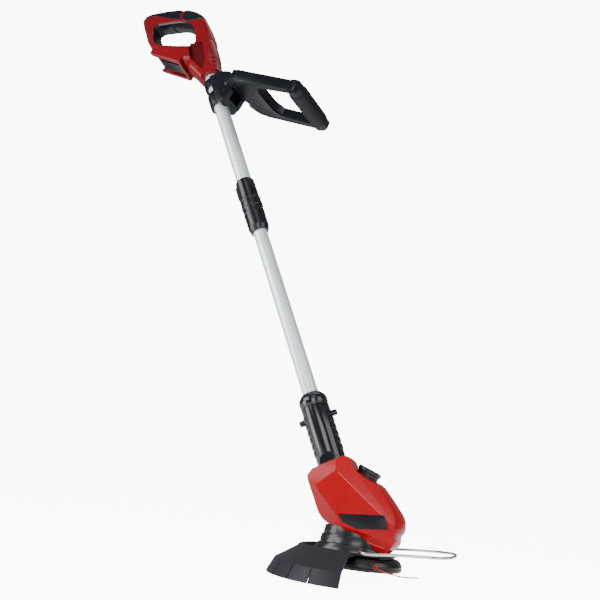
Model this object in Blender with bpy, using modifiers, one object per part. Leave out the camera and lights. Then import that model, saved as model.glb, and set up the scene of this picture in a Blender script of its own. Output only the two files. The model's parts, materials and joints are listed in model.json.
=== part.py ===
"""Cordless string trimmer with a D-shaped rear handle, a loop handle, a telescopic shaft,
a tilting and swivelling motor head, a rear guard, a wire plant guard and a line spool.

World frame: metres, X forward, Y left, Z up, origin at the centre of the rear grip.
The shaft frame has its Z up the shaft and its X square to it, forward.
The head frame has its Z on the spool axis, with z = 0 at the guard's lower rim.
"""
import math

import bmesh
import bpy
from mathutils import Matrix, Vector

MM = 0.001

# Fits
GAP = 0.3 * MM
RUNNING = 0.5 * MM

# Shaft
SHAFT_LEAN = math.radians(23)
GRIP_BEHIND_SHAFT = 51.5 * MM
GRIP_ABOVE_MOUTH = 189.6 * MM
UPPER_TUBE_R = 13.5 * MM
LOWER_TUBE_R = 12.0 * MM
TUBE_WALL = 1.2 * MM
TUBE_IN_HANDLE = 52 * MM
MOUTH_TO_SLEEVE = 252 * MM
SLEEVE_COLLAR_LENGTH = 51 * MM
SLEEVE_NOSE_LENGTH = 26 * MM
LOCK_NUT_LENGTH = 55 * MM
LOWER_BARE_LENGTH = 292 * MM
SLIDE_TRAVEL = 240 * MM
TUBE_OVERLAP = 130 * MM

# Neck
NECK_COLLAR_LENGTH = 21 * MM
NECK_LENGTH = 83 * MM
NECK_R = 21 * MM
NECK_HALF_WIDTH = 21.8 * MM
PIVOT_CAP_R = 10.2 * MM
RIB_DEPTH = 1.0 * MM
RIB_COUNT = 6
TUBE_IN_NECK = 56 * MM
DETENT_BUTTON_R = 4.6 * MM
DETENT_BUTTON_HEIGHT = 14 * MM
DETENT_TRAVEL = 3 * MM
TILT_PIN_R = 3 * MM
PIN_INNER = 6.5 * MM
EAR_R = 8 * MM
EAR_INNER = 8 * MM
EAR_OUTER = 14 * MM
EAR_FOOT = 32 * MM
TILT_RANGE = math.radians(20)

# Motor head
PIVOT_BEHIND_SPOOL = 53.4 * MM
PIVOT_ABOVE_RIM = 145.7 * MM
SHELL_WALL = 2.4 * MM
POD_HALF_WIDTH = 36.5 * MM
CHEEK_HALF_WIDTH = 25.5 * MM
HOUSING_TOP = 64 * MM
DECK = 3 * MM
MOTOR_BASE = HOUSING_TOP + GAP
MOTOR_R = 18 * MM
MOTOR_LENGTH = 40 * MM
SPINDLE_R = 3 * MM
TILT_BUTTON_R = 15.3 * MM
TILT_BUTTON_HEIGHT = 13 * MM
TILT_BUTTON_LEAN = math.radians(23.5)
TILT_BUTTON_TRAVEL = 3 * MM

# Guard and cutting head
RIM_R = 128.5 * MM
CREASE_R = 118 * MM
CREASE_Z = 17.3 * MM
DISC_R = 88 * MM
DISC_Z = 33.2 * MM
GUARD_WALL = 2.4 * MM
GUARD_SCREWS = [(27 * MM, 0), (-22 * MM, 22 * MM), (-22 * MM, -22 * MM)]
SPINDLE_HOLE_R = 10 * MM
CUTTER_R = CREASE_R - 13.5 * MM
CUTTER_LOW = 6 * MM
CUTTER_HIGH = 15.5 * MM
GUARD_HUB_R = 42 * MM
GUARD_END_RIGHT = math.radians(87.3)
GUARD_END_LEFT = math.radians(79.5)
SKIRT_SLITS = 7
SPOOL_R = 50 * MM
SPOOL_BOTTOM = 13.5 * MM
SPOOL_TOP = 28.5 * MM
BUMP_KNOB_R = 14 * MM
BUMP_KNOB_BOTTOM = 10 * MM
LINE_R = 0.8 * MM
LINE_TUCK = 1 * MM
LINE_EXIT = math.radians(-64)
WIRE_R = 1.8 * MM
WIRE_REACH = 118 * MM
WIRE_HALF_WIDTH = 73 * MM
WIRE_PIVOT = (3 * MM, 40 * MM)

# Rear handle
BATTERY_FOOT_SLOPE = math.radians(24)
FOOT_HALF_WIDTH = 29 * MM
FOOT_LENGTH = 76 * MM
HANDLE_WALL = 2.6 * MM
PAD_THICKNESS = 1.3 * MM

# Loop handle
LOOP_REACH = 175 * MM
LOOP_HALF_WIDTH = 57 * MM
LOOP_DROP = math.radians(46)
LOOP_TURN = math.radians(10)
LOOP_PIVOT_BELOW_MOUTH = 52 * MM
LOOP_PIVOT_AHEAD = 33 * MM
BOLT_R = 3 * MM

# Colours
RED = (0.60, 0.012, 0.018)
BLACK = (0.012, 0.013, 0.018)
DARK_GREY = (0.030, 0.031, 0.036)
SOFT_GREY = (0.022, 0.024, 0.030)
ALUMINIUM = (0.72, 0.74, 0.76)
STEEL = (0.55, 0.56, 0.58)

RING_SIDES = 12
TURN_STEPS = 20


# Scene

for old in list(bpy.data.objects):
    bpy.data.objects.remove(old, do_unlink=True)

parts = bpy.data.collections.new("string_trimmer")
cutters = bpy.data.collections.new("cutters")
bpy.context.scene.collection.children.link(parts)
bpy.context.scene.collection.children.link(cutters)


def frame(name, location, lean=0.0, parent=None):
    """An empty whose local Z leans back from the world's Z by the given angle."""
    empty = bpy.data.objects.new(name, None)
    empty.location = location
    empty.rotation_euler = (0, -lean, 0)
    empty.parent = parent
    parts.objects.link(empty)
    return empty


def material(name, colour, roughness, metallic=0.0):
    """A Principled material, made once for each name."""
    found = bpy.data.materials.get(name)
    if found:
        return found
    made = bpy.data.materials.new(name)
    made.use_nodes = True
    shader = made.node_tree.nodes["Principled BSDF"]
    shader.inputs["Base Color"].default_value = (*colour, 1)
    shader.inputs["Roughness"].default_value = roughness
    shader.inputs["Metallic"].default_value = metallic
    return made


red_plastic = material("red_plastic", RED, 0.28)
black_plastic = material("black_plastic", BLACK, 0.35)
guard_plastic = material("guard_plastic", DARK_GREY, 0.5)
soft_rubber = material("soft_rubber", SOFT_GREY, 0.75)
tube_metal = material("tube_metal", ALUMINIUM, 0.35, 1.0)
steel = material("steel", STEEL, 0.3, 1.0)
red_line = material("red_line", RED, 0.4)
white_plastic = material("white_plastic", (0.75, 0.75, 0.72), 0.5)


# Modelling tools

def mesh_object(name, bm, look, parent=None):
    """A part object made from a bmesh, with its faces turned outward."""
    bmesh.ops.recalc_face_normals(bm, faces=bm.faces)
    mesh = bpy.data.meshes.new(name)
    bm.to_mesh(mesh)
    bm.free()
    return place(bpy.data.objects.new(name, mesh), look, parent)


def place(obj, look, parent=None):
    """Put an object among the parts, or among the cutters when it has no material."""
    obj.parent = parent
    if look is None:
        cutters.objects.link(obj)
        obj.hide_render = True
        obj.display_type = "WIRE"
    else:
        parts.objects.link(obj)
        obj.data.materials.clear()
        obj.data.materials.append(look)
    return obj


def smooth(obj, angle=35):
    """Shade smooth, with edges kept sharp past an angle in degrees."""
    obj.data.shade_smooth()
    obj.data.set_sharp_from_angle(angle=math.radians(angle))
    return obj


def bake(obj):
    """Replace an object's mesh with its evaluated mesh."""
    bpy.context.view_layer.update()
    evaluated = obj.evaluated_get(bpy.context.evaluated_depsgraph_get())
    mesh = bpy.data.meshes.new_from_object(evaluated)
    obj.modifiers.clear()
    obj.data = mesh
    return obj


def combine(obj, other, operation):
    """Join or cut an object with another one, which is then removed."""
    modifier = obj.modifiers.new(operation.lower(), "BOOLEAN")
    modifier.operation = operation
    modifier.solver = "EXACT"
    modifier.object = other
    bake(obj)
    bpy.data.objects.remove(other, do_unlink=True)
    return obj


def cut(obj, *tools):
    """Cut an object with each tool in turn."""
    for tool in tools:
        combine(obj, tool, "DIFFERENCE")
    return obj


def join(obj, *others):
    """Join other solids to an object."""
    for other in others:
        combine(obj, other, "UNION")
    return obj


def copy_of(obj, name, parent=None):
    """A copy with its own mesh, under the same parent unless another is given."""
    twin = obj.copy()
    twin.data = obj.data.copy()
    twin.name = name
    twin.parent = parent or obj.parent
    parts.objects.link(twin)
    return twin


def mirrored(obj, name):
    """A copy of an object turned over to the other side of its local middle plane."""
    twin = copy_of(obj, name)
    twin.data.transform(Matrix.Diagonal((1, -1, 1, 1)))
    return smooth(turned_out(twin))


def turned(name, profile, look, parent=None, location=(0, 0, 0), steps=TURN_STEPS):
    """Turn a closed profile of (radius, height) points, outer side first, about local Z."""
    bm = bmesh.new()
    points = [bm.verts.new((radius, 0, height)) for radius, height in profile]
    for first, second in zip(points, points[1:]):
        bm.edges.new((first, second))
    on_axis = profile[0][0] == 0 and profile[-1][0] == 0
    if not on_axis:
        bm.edges.new((points[-1], points[0]))
    mesh = bpy.data.meshes.new(name)
    bm.to_mesh(mesh)
    bm.free()
    obj = place(bpy.data.objects.new(name, mesh), look, parent)
    obj.location = location
    screw = obj.modifiers.new("turn", "SCREW")
    screw.steps = steps
    screw.render_steps = steps
    screw.use_merge_vertices = True
    screw.merge_threshold = 0.01 * MM
    screw.use_normal_calculate = False
    bake(obj)
    turned_out(obj)
    return smooth(obj)


def turned_out(obj):
    """Turn a closed mesh's faces outward."""
    bm = bmesh.new()
    bm.from_mesh(obj.data)
    bmesh.ops.remove_doubles(bm, verts=bm.verts, dist=0.005 * MM)
    bmesh.ops.recalc_face_normals(bm, faces=bm.faces)
    bm.to_mesh(obj.data)
    bm.free()
    return obj


def rod(name, radius, low, high, look, parent=None, location=(0, 0, 0), axis="Z", steps=20):
    """A cylinder along a local axis, from low to high on that axis."""
    bm = bmesh.new()
    bmesh.ops.create_cone(
        bm, cap_ends=True, segments=steps, radius1=radius, radius2=radius, depth=high - low)
    bmesh.ops.translate(bm, verts=bm.verts, vec=(0, 0, (low + high) / 2))
    turn = {"Z": Matrix(), "X": Matrix.Rotation(math.pi / 2, 4, "Y"),
            "Y": Matrix.Rotation(-math.pi / 2, 4, "X")}[axis]
    bmesh.ops.transform(bm, matrix=turn, verts=bm.verts)
    obj = mesh_object(name, bm, look, parent)
    obj.location = location
    return smooth(obj)


def block(name, low, high, look, parent=None, location=(0, 0, 0), bevel=0.0):
    """A box between two corners, with an optional rounded edge."""
    bm = bmesh.new()
    bmesh.ops.create_cube(bm, size=1)
    size = Vector(high) - Vector(low)
    bmesh.ops.scale(bm, vec=size, verts=bm.verts)
    bmesh.ops.translate(bm, vec=(Vector(low) + Vector(high)) / 2, verts=bm.verts)
    obj = mesh_object(name, bm, look, parent)
    obj.location = location
    if bevel:
        rounding = obj.modifiers.new("rounding", "BEVEL")
        rounding.width = bevel
        rounding.segments = 2
        bake(obj)
    return obj


def plate(name, outline, low, high, look, parent=None, location=(0, 0, 0), hole=None):
    """A flat outline in the local XZ plane, made solid from y = low to y = high."""
    curve = bpy.data.curves.new(name, "CURVE")
    curve.dimensions = "2D"
    curve.fill_mode = "BOTH"
    curve.extrude = (high - low) / 2
    for points in [outline] + ([hole] if hole else []):
        spline = curve.splines.new("POLY")
        spline.points.add(len(points) - 1)
        for point, (x, z) in zip(spline.points, points):
            point.co = (x, z, 0, 1)
        spline.use_cyclic_u = True
    flat = bpy.data.objects.new(name, curve)
    cutters.objects.link(flat)
    bpy.context.view_layer.update()
    evaluated = flat.evaluated_get(bpy.context.evaluated_depsgraph_get())
    mesh = bpy.data.meshes.new_from_object(evaluated)
    bpy.data.objects.remove(flat, do_unlink=True)
    bm = bmesh.new()
    bm.from_mesh(mesh)
    bmesh.ops.remove_doubles(bm, verts=bm.verts, dist=0.005 * MM)
    bmesh.ops.rotate(bm, matrix=Matrix.Rotation(math.pi / 2, 3, "X"), verts=bm.verts)
    bmesh.ops.translate(bm, vec=(0, (low + high) / 2, 0), verts=bm.verts)
    obj = mesh_object(name, bm, look, parent)
    obj.location = location
    return obj


def loft(name, rings, look, parent=None, closed=False):
    """A solid through rings of equally many points, capped unless the rings close on themselves."""
    bm = bmesh.new()
    rows = [[bm.verts.new(point) for point in ring] for ring in rings]
    pairs = list(zip(rows, rows[1:]))
    if closed:
        pairs.append((rows[-1], rows[0]))
    for first, second in pairs:
        count = len(first)
        for index in range(count):
            following = (index + 1) % count
            bm.faces.new((first[index], first[following], second[following], second[index]))
    if not closed:
        bm.faces.new(rows[0])
        bm.faces.new(rows[-1])
    return smooth(mesh_object(name, bm, look, parent))


def wire(name, points, radius, look, parent=None, resolution=2, radii=None, location=(0, 0, 0)):
    """A round tube through points, as a mesh with welded caps."""
    curve = bpy.data.curves.new(name, "CURVE")
    curve.dimensions = "3D"
    curve.bevel_depth = radius
    curve.bevel_resolution = resolution
    curve.use_fill_caps = True
    spline = curve.splines.new("POLY")
    spline.points.add(len(points) - 1)
    for index, (point, co) in enumerate(zip(spline.points, points)):
        point.co = (*co, 1)
        point.radius = radii[index] / radius if radii else 1.0
    bent = bpy.data.objects.new(name, curve)
    cutters.objects.link(bent)
    bpy.context.view_layer.update()
    evaluated = bent.evaluated_get(bpy.context.evaluated_depsgraph_get())
    mesh = bpy.data.meshes.new_from_object(evaluated)
    bpy.data.objects.remove(bent, do_unlink=True)
    obj = place(bpy.data.objects.new(name, mesh), look, parent)
    obj.location = location
    turned_out(obj)
    return smooth(obj)


def superellipse(across, along, count=RING_SIDES, power=2.6):
    """Points (u, v) round a rounded rectangle; u is the along axis and v the across axis."""
    points = []
    for index in range(count):
        angle = 2 * math.pi * index / count
        c, s = math.cos(angle), math.sin(angle)
        points.append((along * math.copysign(abs(c) ** (2 / power), c),
                       across * math.copysign(abs(s) ** (2 / power), s)))
    return points


def through(controls, steps):
    """Points on a closed Catmull-Rom curve through controls of any dimension."""
    curve = []
    count = len(controls)
    for index in range(count):
        p0, p1, p2, p3 = (controls[(index + shift) % count] for shift in (-1, 0, 1, 2))
        for step in range(steps):
            t = step / steps
            curve.append(tuple(
                0.5 * (2 * b + (c - a) * t + (2 * a - 5 * b + 4 * c - d) * t ** 2
                       + (3 * b - a - 3 * c + d) * t ** 3)
                for a, b, c, d in zip(p0, p1, p2, p3)))
    return curve


def open_curve(controls, steps):
    """Points on an open Catmull-Rom curve that starts and ends at the end controls."""
    first = tuple(2 * a - b for a, b in zip(controls[0], controls[1]))
    last = tuple(2 * a - b for a, b in zip(controls[-1], controls[-2]))
    padded = [first] + list(controls) + [last]
    curve = []
    for index in range(1, len(padded) - 2):
        p0, p1, p2, p3 = padded[index - 1:index + 3]
        for step in range(steps):
            t = step / steps
            curve.append(tuple(
                0.5 * (2 * b + (c - a) * t + (2 * a - 5 * b + 4 * c - d) * t ** 2
                       + (3 * b - a - 3 * c + d) * t ** 3)
                for a, b, c, d in zip(p0, p1, p2, p3)))
    curve.append(tuple(controls[-1]))
    return curve


def coil(radius, low, high, turns, per_turn=10):
    """Points of a helix about local Z."""
    total = int(turns * per_turn)
    return [(radius * math.cos(2 * math.pi * index / per_turn),
             radius * math.sin(2 * math.pi * index / per_turn),
             low + (high - low) * index / total) for index in range(total + 1)]


def screw_piece(name, head_at, tip_at, look=steel, parent=None, head_r=3.2 * MM, shank_r=1.5 * MM,
                head_height=2.0 * MM, axis="Y"):
    """A screw along a local axis through head_at, with its head's outer face there."""
    head_at, tip_at = Vector(head_at), Vector(tip_at)
    length = (tip_at - head_at).length
    profile = [(0, 0), (head_r, 0), (head_r, -head_height), (shank_r, -head_height),
               (shank_r, -length), (0, -length)]
    obj = turned(name, profile, look, parent, steps=10)
    down = (tip_at - head_at).normalized()
    turn = Vector((0, 0, -1)).rotation_difference(down).to_matrix().to_4x4()
    obj.data.transform(Matrix.Translation(head_at) @ turn)
    return obj


# Frames, from the grip down the shaft to the cutting head

shaft_up = Vector((-math.sin(SHAFT_LEAN), 0, math.cos(SHAFT_LEAN)))
shaft_ahead = Vector((math.cos(SHAFT_LEAN), 0, math.sin(SHAFT_LEAN)))
mouth = shaft_ahead * GRIP_BEHIND_SHAFT - shaft_up * GRIP_ABOVE_MOUTH
mouth_frame = frame("mouth_frame", mouth, SHAFT_LEAN)

SLEEVE_TOP = -MOUTH_TO_SLEEVE
COLLAR_BOTTOM = SLEEVE_TOP - SLEEVE_COLLAR_LENGTH
NUT_BOTTOM = COLLAR_BOTTOM - GAP - LOCK_NUT_LENGTH
NECK_COLLAR_TOP = NUT_BOTTOM - LOWER_BARE_LENGTH
NECK_TOP = NECK_COLLAR_TOP - NECK_COLLAR_LENGTH
PIVOT_STATION = NECK_TOP - NECK_LENGTH

pivot = mouth + shaft_up * PIVOT_STATION
neck_frame = frame("neck_frame", pivot, SHAFT_LEAN)
head_frame = frame("head_frame", pivot + Vector((PIVOT_BEHIND_SPOOL, 0, -PIVOT_ABOVE_RIM)))


# Rear handle

# Each control is a spoke across the handle's loop, from its outer edge to its finger opening:
# outer x and z, inner x and z, half width, starting at the rear corner of the grip
GRIP_SPOKES = [
    (-55 * MM, 2 * MM, -20 * MM, -24 * MM, 16 * MM),
    (-41 * MM, 14 * MM, -10 * MM, -17.5 * MM, 16.5 * MM),
    (-10 * MM, 17 * MM, 2 * MM, -17 * MM, 16.5 * MM),
    (20 * MM, 16.5 * MM, 20 * MM, -17 * MM, 16.5 * MM),
    (44 * MM, 13.5 * MM, 38 * MM, -18 * MM, 16.5 * MM),
    (66 * MM, 5 * MM, 52 * MM, -23 * MM, 17 * MM),
    (84 * MM, -8 * MM, 63 * MM, -32 * MM, 17.5 * MM),
    (96 * MM, -24 * MM, 70 * MM, -46 * MM, 18.5 * MM),
    (107 * MM, -46 * MM, 75 * MM, -60 * MM, 20 * MM),
    (115 * MM, -72 * MM, 77 * MM, -73 * MM, 21 * MM),
    (108 * MM, -110 * MM, 70 * MM, -82 * MM, 23 * MM),
    (66 * MM, -121 * MM, 56 * MM, -84 * MM, 28 * MM),
    (36 * MM, -108 * MM, 36 * MM, -82.5 * MM, 29 * MM),
    (12 * MM, -97 * MM, 14 * MM, -79 * MM, 29 * MM),
    (-11 * MM, -82 * MM, -2 * MM, -73 * MM, 28 * MM),
    (-25 * MM, -66 * MM, -12 * MM, -58 * MM, 25 * MM),
    (-37 * MM, -42 * MM, -17 * MM, -40 * MM, 20 * MM),
]
SPOKE_STEPS = 2
GRIP_RINGS = through(GRIP_SPOKES, SPOKE_STEPS)


def loop_ring(index, inset=0.0):
    """One section of the handle's loop: a rounded rectangle round a spoke."""
    outer_x, outer_z, inner_x, inner_z, width = GRIP_RINGS[index % len(GRIP_RINGS)]
    outer, inner = Vector((outer_x, 0, outer_z)), Vector((inner_x, 0, inner_z))
    centre = (outer + inner) / 2
    outward = (outer - inner).normalized()
    depth = (outer - inner).length / 2
    return [centre + outward * u + Vector((0, v, 0))
            for u, v in superellipse(width - inset, depth - inset)]


def loop_band(name, first, last, start, end, look):
    """A pad on the handle's loop, between two sections and between two points round them."""
    rings = []
    for index in range(first, last + 1):
        inner = loop_ring(index, -GAP)
        outer = loop_ring(index, -GAP - PAD_THICKNESS)
        arc = [side % RING_SIDES for side in range(start, end + 1)]
        rings.append([outer[side] for side in arc] + [inner[side] for side in reversed(arc)])
    return loft(name, rings, look)


# Each control is the height above the mouth, the centre's offset ahead, half depth and half width
COLUMN = [
    (0 * MM, -0.5 * MM, 21.5 * MM, 21 * MM),
    (20 * MM, -4 * MM, 26 * MM, 22 * MM),
    (45 * MM, -6 * MM, 32 * MM, 24 * MM),
    (72 * MM, -1 * MM, 28 * MM, 23 * MM),
    (84 * MM, 4 * MM, 21 * MM, 21 * MM),
]


def column_rings(inset=0.0, first=0.0):
    """Sections of the handle's column, square to the shaft."""
    rings = []
    for height, ahead, depth, width in COLUMN:
        centre = mouth + shaft_up * max(height, first) + shaft_ahead * ahead
        rings.append([centre + shaft_ahead * u + Vector((0, v, 0))
                      for u, v in superellipse(width - inset, depth - inset)])
    return rings


foot_frame = frame("foot_frame", (28 * MM, 0, -105.5 * MM), -BATTERY_FOOT_SLOPE)
RAIL_HEIGHT = 9 * MM
RAIL_LIP = 2.6 * MM
RAIL_WALL = 5 * MM
RAIL_REACH = 4 * MM
FOOT_STOP = 6 * MM
FOOT_PLATE = 6 * MM
# Each screw is x, z and the half width of the shell there
HANDLE_SCREWS = [(-35 * MM, -7 * MM, 15.5 * MM), (78 * MM, -38 * MM, 17.5 * MM),
                 (5 * MM, -84.5 * MM, 28 * MM)]
TRIGGER_SLOT = ((15.5 * MM, -25 * MM), (62.5 * MM, -12 * MM))
TRIGGER_HALF_WIDTH = 7 * MM
LOCK_OFF_AT = Vector((61 * MM, 0, 8 * MM))
LOCK_OFF_LEAN = math.radians(-22)
lock_off_frame = frame("lock_off_frame", LOCK_OFF_AT, LOCK_OFF_LEAN)
LOCK_OFF_R = 4.5 * MM


def rear_handle():
    """Both rear shells, cut from one hollow body on the middle plane."""
    total = len(GRIP_RINGS)
    body = loft("rear_shell_right", [loop_ring(i) for i in range(total)], red_plastic, closed=True)
    column = loft("column", column_rings(), None)
    foot = block("foot", (-FOOT_LENGTH / 2, -FOOT_HALF_WIDTH, -RAIL_HEIGHT),
                 (FOOT_LENGTH / 2, FOOT_HALF_WIDTH, FOOT_PLATE), None, foot_frame)
    join(body, column, foot)

    hollow = loft("hollow", [loop_ring(i, HANDLE_WALL) for i in range(total)], None, closed=True)
    column_hollow = loft("column_hollow", column_rings(HANDLE_WALL, 14 * MM), None)
    channel_half = FOOT_HALF_WIDTH - RAIL_WALL
    throat_half = channel_half - RAIL_REACH
    lip_z = -RAIL_HEIGHT + RAIL_LIP
    section = [(channel_half, 0), (channel_half, lip_z),
               (throat_half, lip_z), (throat_half, -RAIL_HEIGHT - MM)]
    section += [(-y, z) for y, z in reversed(section)]
    channel = loft("channel", [[(x, y, z) for y, z in section]
                               for x in (-FOOT_LENGTH, FOOT_LENGTH / 2 - FOOT_STOP)], None, foot_frame)
    bore = rod("bore", UPPER_TUBE_R + GAP, -5 * MM, TUBE_IN_HANDLE + GAP, None, mouth_frame,
               steps=TURN_STEPS)
    cut(body, hollow, column_hollow, channel, bore)

    for x, z, side in HANDLE_SCREWS:
        join(body, rod("boss", 4.8 * MM, MM - side, side - MM, None, None, (x, 0, z), "Y", 10))
    (slot_x, slot_z), (slot_end, slot_top) = TRIGGER_SLOT
    slot = block("slot", (slot_x, -TRIGGER_HALF_WIDTH - RUNNING, slot_z - 20 * MM),
                 (slot_end, TRIGGER_HALF_WIDTH + RUNNING, slot_top), None)
    well = rod("well", LOCK_OFF_R + GAP, -20 * MM, 20 * MM, None, lock_off_frame, steps=16)
    pin_hole = rod("pin_hole", 1.5 * MM + GAP, -11 * MM, 11 * MM, None, None,
                   (TRIGGER_PIVOT[0], 0, TRIGGER_PIVOT[1]), "Y", 10)
    cut(body, slot, well, pin_hole)

    left = copy_of(body, "rear_shell_left")
    far = 0.2
    cut(body, block("left_half", (-far, -GAP / 2, -far), (far, far, far), None))
    cut(left, block("right_half", (-far, -far, -far), (far, GAP / 2, far), None))
    for index, (x, z, side) in enumerate(HANDLE_SCREWS):
        hole = rod("hole", 1.5 * MM + GAP, -11 * MM, 40 * MM, None, None, (x, 0, z), "Y", 10)
        cut(body, hole)
        hole = rod("hole", 1.5 * MM + GAP, -11 * MM, 40 * MM, None, None, (x, 0, z), "Y", 10)
        recess = rod("recess", 3.2 * MM + GAP, 12 * MM, 40 * MM, None, None, (x, 0, z), "Y", 10)
        cut(left, hole, recess)
        screw_piece(f"handle_screw_{index + 1}", (x, 14 * MM, z), (x, -10 * MM, z))
    for shell in (body, left):
        smooth(shell)


TRIGGER_PIVOT = (20 * MM, -4 * MM)
TRIGGER_TRAVEL = math.radians(8)


def trigger_group():
    """The trigger on its pin, its spring, the switch, the lock-off button and its spring."""
    px, pz = TRIGGER_PIVOT
    trigger_frame = frame("trigger_frame", (px, 0, pz))
    outline = [(-3.4 * MM, 3.4 * MM), (3.4 * MM, 3.4 * MM), (12 * MM, -2 * MM), (39 * MM, -6 * MM),
               (41 * MM, -14 * MM), (40 * MM, -24 * MM), (26 * MM, -20.5 * MM), (8 * MM, -16.5 * MM),
               (-2 * MM, -15 * MM), (-3.4 * MM, -10 * MM)]
    trigger = plate("trigger", outline, -TRIGGER_HALF_WIDTH, TRIGGER_HALF_WIDTH, soft_black, trigger_frame)
    cut(trigger, rod("hole", 1.5 * MM + GAP, -10 * MM, 10 * MM, None, trigger_frame, axis="Y", steps=10))
    rounding = trigger.modifiers.new("rounding", "BEVEL")
    rounding.width = 0.8 * MM
    rounding.segments = 1
    rounding.limit_method = "ANGLE"
    rod("trigger_pin", 1.5 * MM, -10.5 * MM, 10.5 * MM, steel, None, (px, 0, pz), "Y", 10)
    block("switch_body", (38 * MM, -6.5 * MM, -3.5 * MM), (51 * MM, 6.5 * MM, 7.1 * MM), black_plastic)
    wire("trigger_spring", coil(2.6 * MM, -5 * MM, 12 * MM, 3.5, 8), 0.5 * MM, steel, None, 1,
         location=(32 * MM, 0, 0))
    turned("lock_off_button", [(0, 6.5 * MM), (2.6 * MM, 6.5 * MM), (4.2 * MM, 5 * MM), (LOCK_OFF_R, 3 * MM),
                               (LOCK_OFF_R, -6 * MM), (0, -6 * MM)], black_plastic, lock_off_frame, steps=16)
    turns = coil(2.8 * MM, -10.5 * MM, -6.8 * MM, 1.75, 8)
    wire("lock_off_spring", turns, 0.45 * MM, steel, lock_off_frame, 1)


def battery_foot():
    """The terminal block between the rails."""
    body = block("terminal_block", (-20 * MM, -12 * MM, -RAIL_HEIGHT + 0.8 * MM),
                 (FOOT_LENGTH / 2 - FOOT_STOP - GAP, 12 * MM, -GAP), black_plastic, foot_frame)
    for side in (-1, 0, 1):
        slot = block("slot", (-21 * MM, side * 7 * MM - 1 * MM, -RAIL_HEIGHT),
                     (10 * MM, side * 7 * MM + 1 * MM, -3 * MM), None, foot_frame)
        cut(body, slot)


soft_black = material("soft_black", BLACK, 0.6)
rear_handle()
trigger_group()
battery_foot()
loop_band("grip_pad_top", 1, 7, -2, 2, soft_rubber)
cut(loop_band("top_cover", 8, 13, -2, 2, soft_black),
    rod("well", LOCK_OFF_R + GAP, -20 * MM, 20 * MM, None, lock_off_frame, steps=16))
loop_band("grip_pad_rear", 27, 36, 5, 7, soft_rubber)


# Shaft tubes, lock sleeve and cable

UPPER_TUBE_BOTTOM = COLLAR_BOTTOM - SLEEVE_NOSE_LENGTH + 8 * MM
LOWER_TUBE_TOP = UPPER_TUBE_BOTTOM + TUBE_OVERLAP
LOWER_TUBE_BOTTOM = NECK_TOP - TUBE_IN_NECK


def tube(name, radius, low, high):
    """A thin-walled tube on the shaft axis."""
    return turned(name, [(radius, high), (radius, low), (radius - TUBE_WALL, low),
                         (radius - TUBE_WALL, high)], tube_metal, mouth_frame)


def lock_sleeve():
    """The fixed collar on the upper tube, the twist nut under it and the collet in the nut."""
    bore = UPPER_TUBE_R + GAP
    slide_bore = LOWER_TUBE_R + GAP
    nose_r = 15.2 * MM
    nose_end = COLLAR_BOTTOM - SLEEVE_NOSE_LENGTH
    collar = turned("sleeve_collar", [
        (15.6 * MM, SLEEVE_TOP), (17 * MM, SLEEVE_TOP - 2 * MM), (17.4 * MM, COLLAR_BOTTOM + 8 * MM),
        (18.2 * MM, COLLAR_BOTTOM + 7 * MM), (18.2 * MM, COLLAR_BOTTOM), (nose_r, COLLAR_BOTTOM),
        (nose_r, nose_end), (slide_bore, nose_end), (slide_bore, nose_end + 7 * MM),
        (bore, nose_end + 7 * MM), (bore, SLEEVE_TOP)], black_plastic, mouth_frame)
    key = block("key", (-19.2 * MM, -3 * MM, SLEEVE_TOP - 30 * MM), (-16 * MM, 3 * MM, SLEEVE_TOP - 6 * MM),
                None, mouth_frame)
    join(collar, key)
    top = COLLAR_BOTTOM - GAP
    cavity_end = nose_end - 24 * MM
    turned("lock_nut", [
        (18.6 * MM, top), (18.6 * MM, top - 6 * MM), (17.6 * MM, top - 7.5 * MM), (17.6 * MM, top - 15 * MM),
        (18.3 * MM, top - 16 * MM), (17.8 * MM, NUT_BOTTOM + 9 * MM), (15 * MM, NUT_BOTTOM),
        (slide_bore, NUT_BOTTOM), (slide_bore, cavity_end - 2 * MM), (nose_r + GAP, cavity_end + 6 * MM),
        (nose_r + GAP, top)], black_plastic, mouth_frame)
    collet = turned("collet", [
        (nose_r - 0.2 * MM, nose_end - GAP), (nose_r - 0.2 * MM, cavity_end + 7.2 * MM),
        (slide_bore + 0.7 * MM, cavity_end + 0.8 * MM), (slide_bore, cavity_end + 0.8 * MM),
        (slide_bore, nose_end - GAP)], white_plastic, mouth_frame)
    cut(collet, block("slit", (0, -0.8 * MM, cavity_end - 5 * MM), (20 * MM, 0.8 * MM, nose_end + 5 * MM),
                      None, mouth_frame))


def power_cable():
    """The cable from the switch to the motor: a coiled stretch in the tubes between two plain leads."""
    lead_r = 2.2 * MM
    coil_r = 7.5 * MM
    top = mouth + shaft_up * (TUBE_IN_HANDLE + 22 * MM) + shaft_ahead * 4 * MM
    coil_top = mouth + shaft_up * (TUBE_IN_HANDLE - 8 * MM)
    coil_bottom = mouth + shaft_up * (LOWER_TUBE_TOP - 20 * MM)
    below = pivot - shaft_up * 24 * MM
    motor_end = head_frame.location + Vector((-9.6 * MM, 0, MOTOR_BASE + MOTOR_LENGTH + 2.7 * MM))
    points = [top, coil_top + shaft_up * 12 * MM, coil_top + shaft_up * MM, coil_top,
              coil_bottom, coil_bottom - shaft_up * MM, pivot + shaft_up * 30 * MM, pivot,
              below, below + Vector((9 * MM, 0, -9 * MM)),
              motor_end + Vector((-12 * MM, 0, 4 * MM)), motor_end]
    radii = [lead_r] * 3 + [coil_r] * 2 + [lead_r] * 7
    wire("power_cable", points, coil_r, black_plastic, None, 2, radii)


tube("upper_tube", UPPER_TUBE_R, UPPER_TUBE_BOTTOM, TUBE_IN_HANDLE)
tube("lower_tube", LOWER_TUBE_R, LOWER_TUBE_BOTTOM, LOWER_TUBE_TOP)
lock_sleeve()
power_cable()


# Loop handle and its clamp

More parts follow.
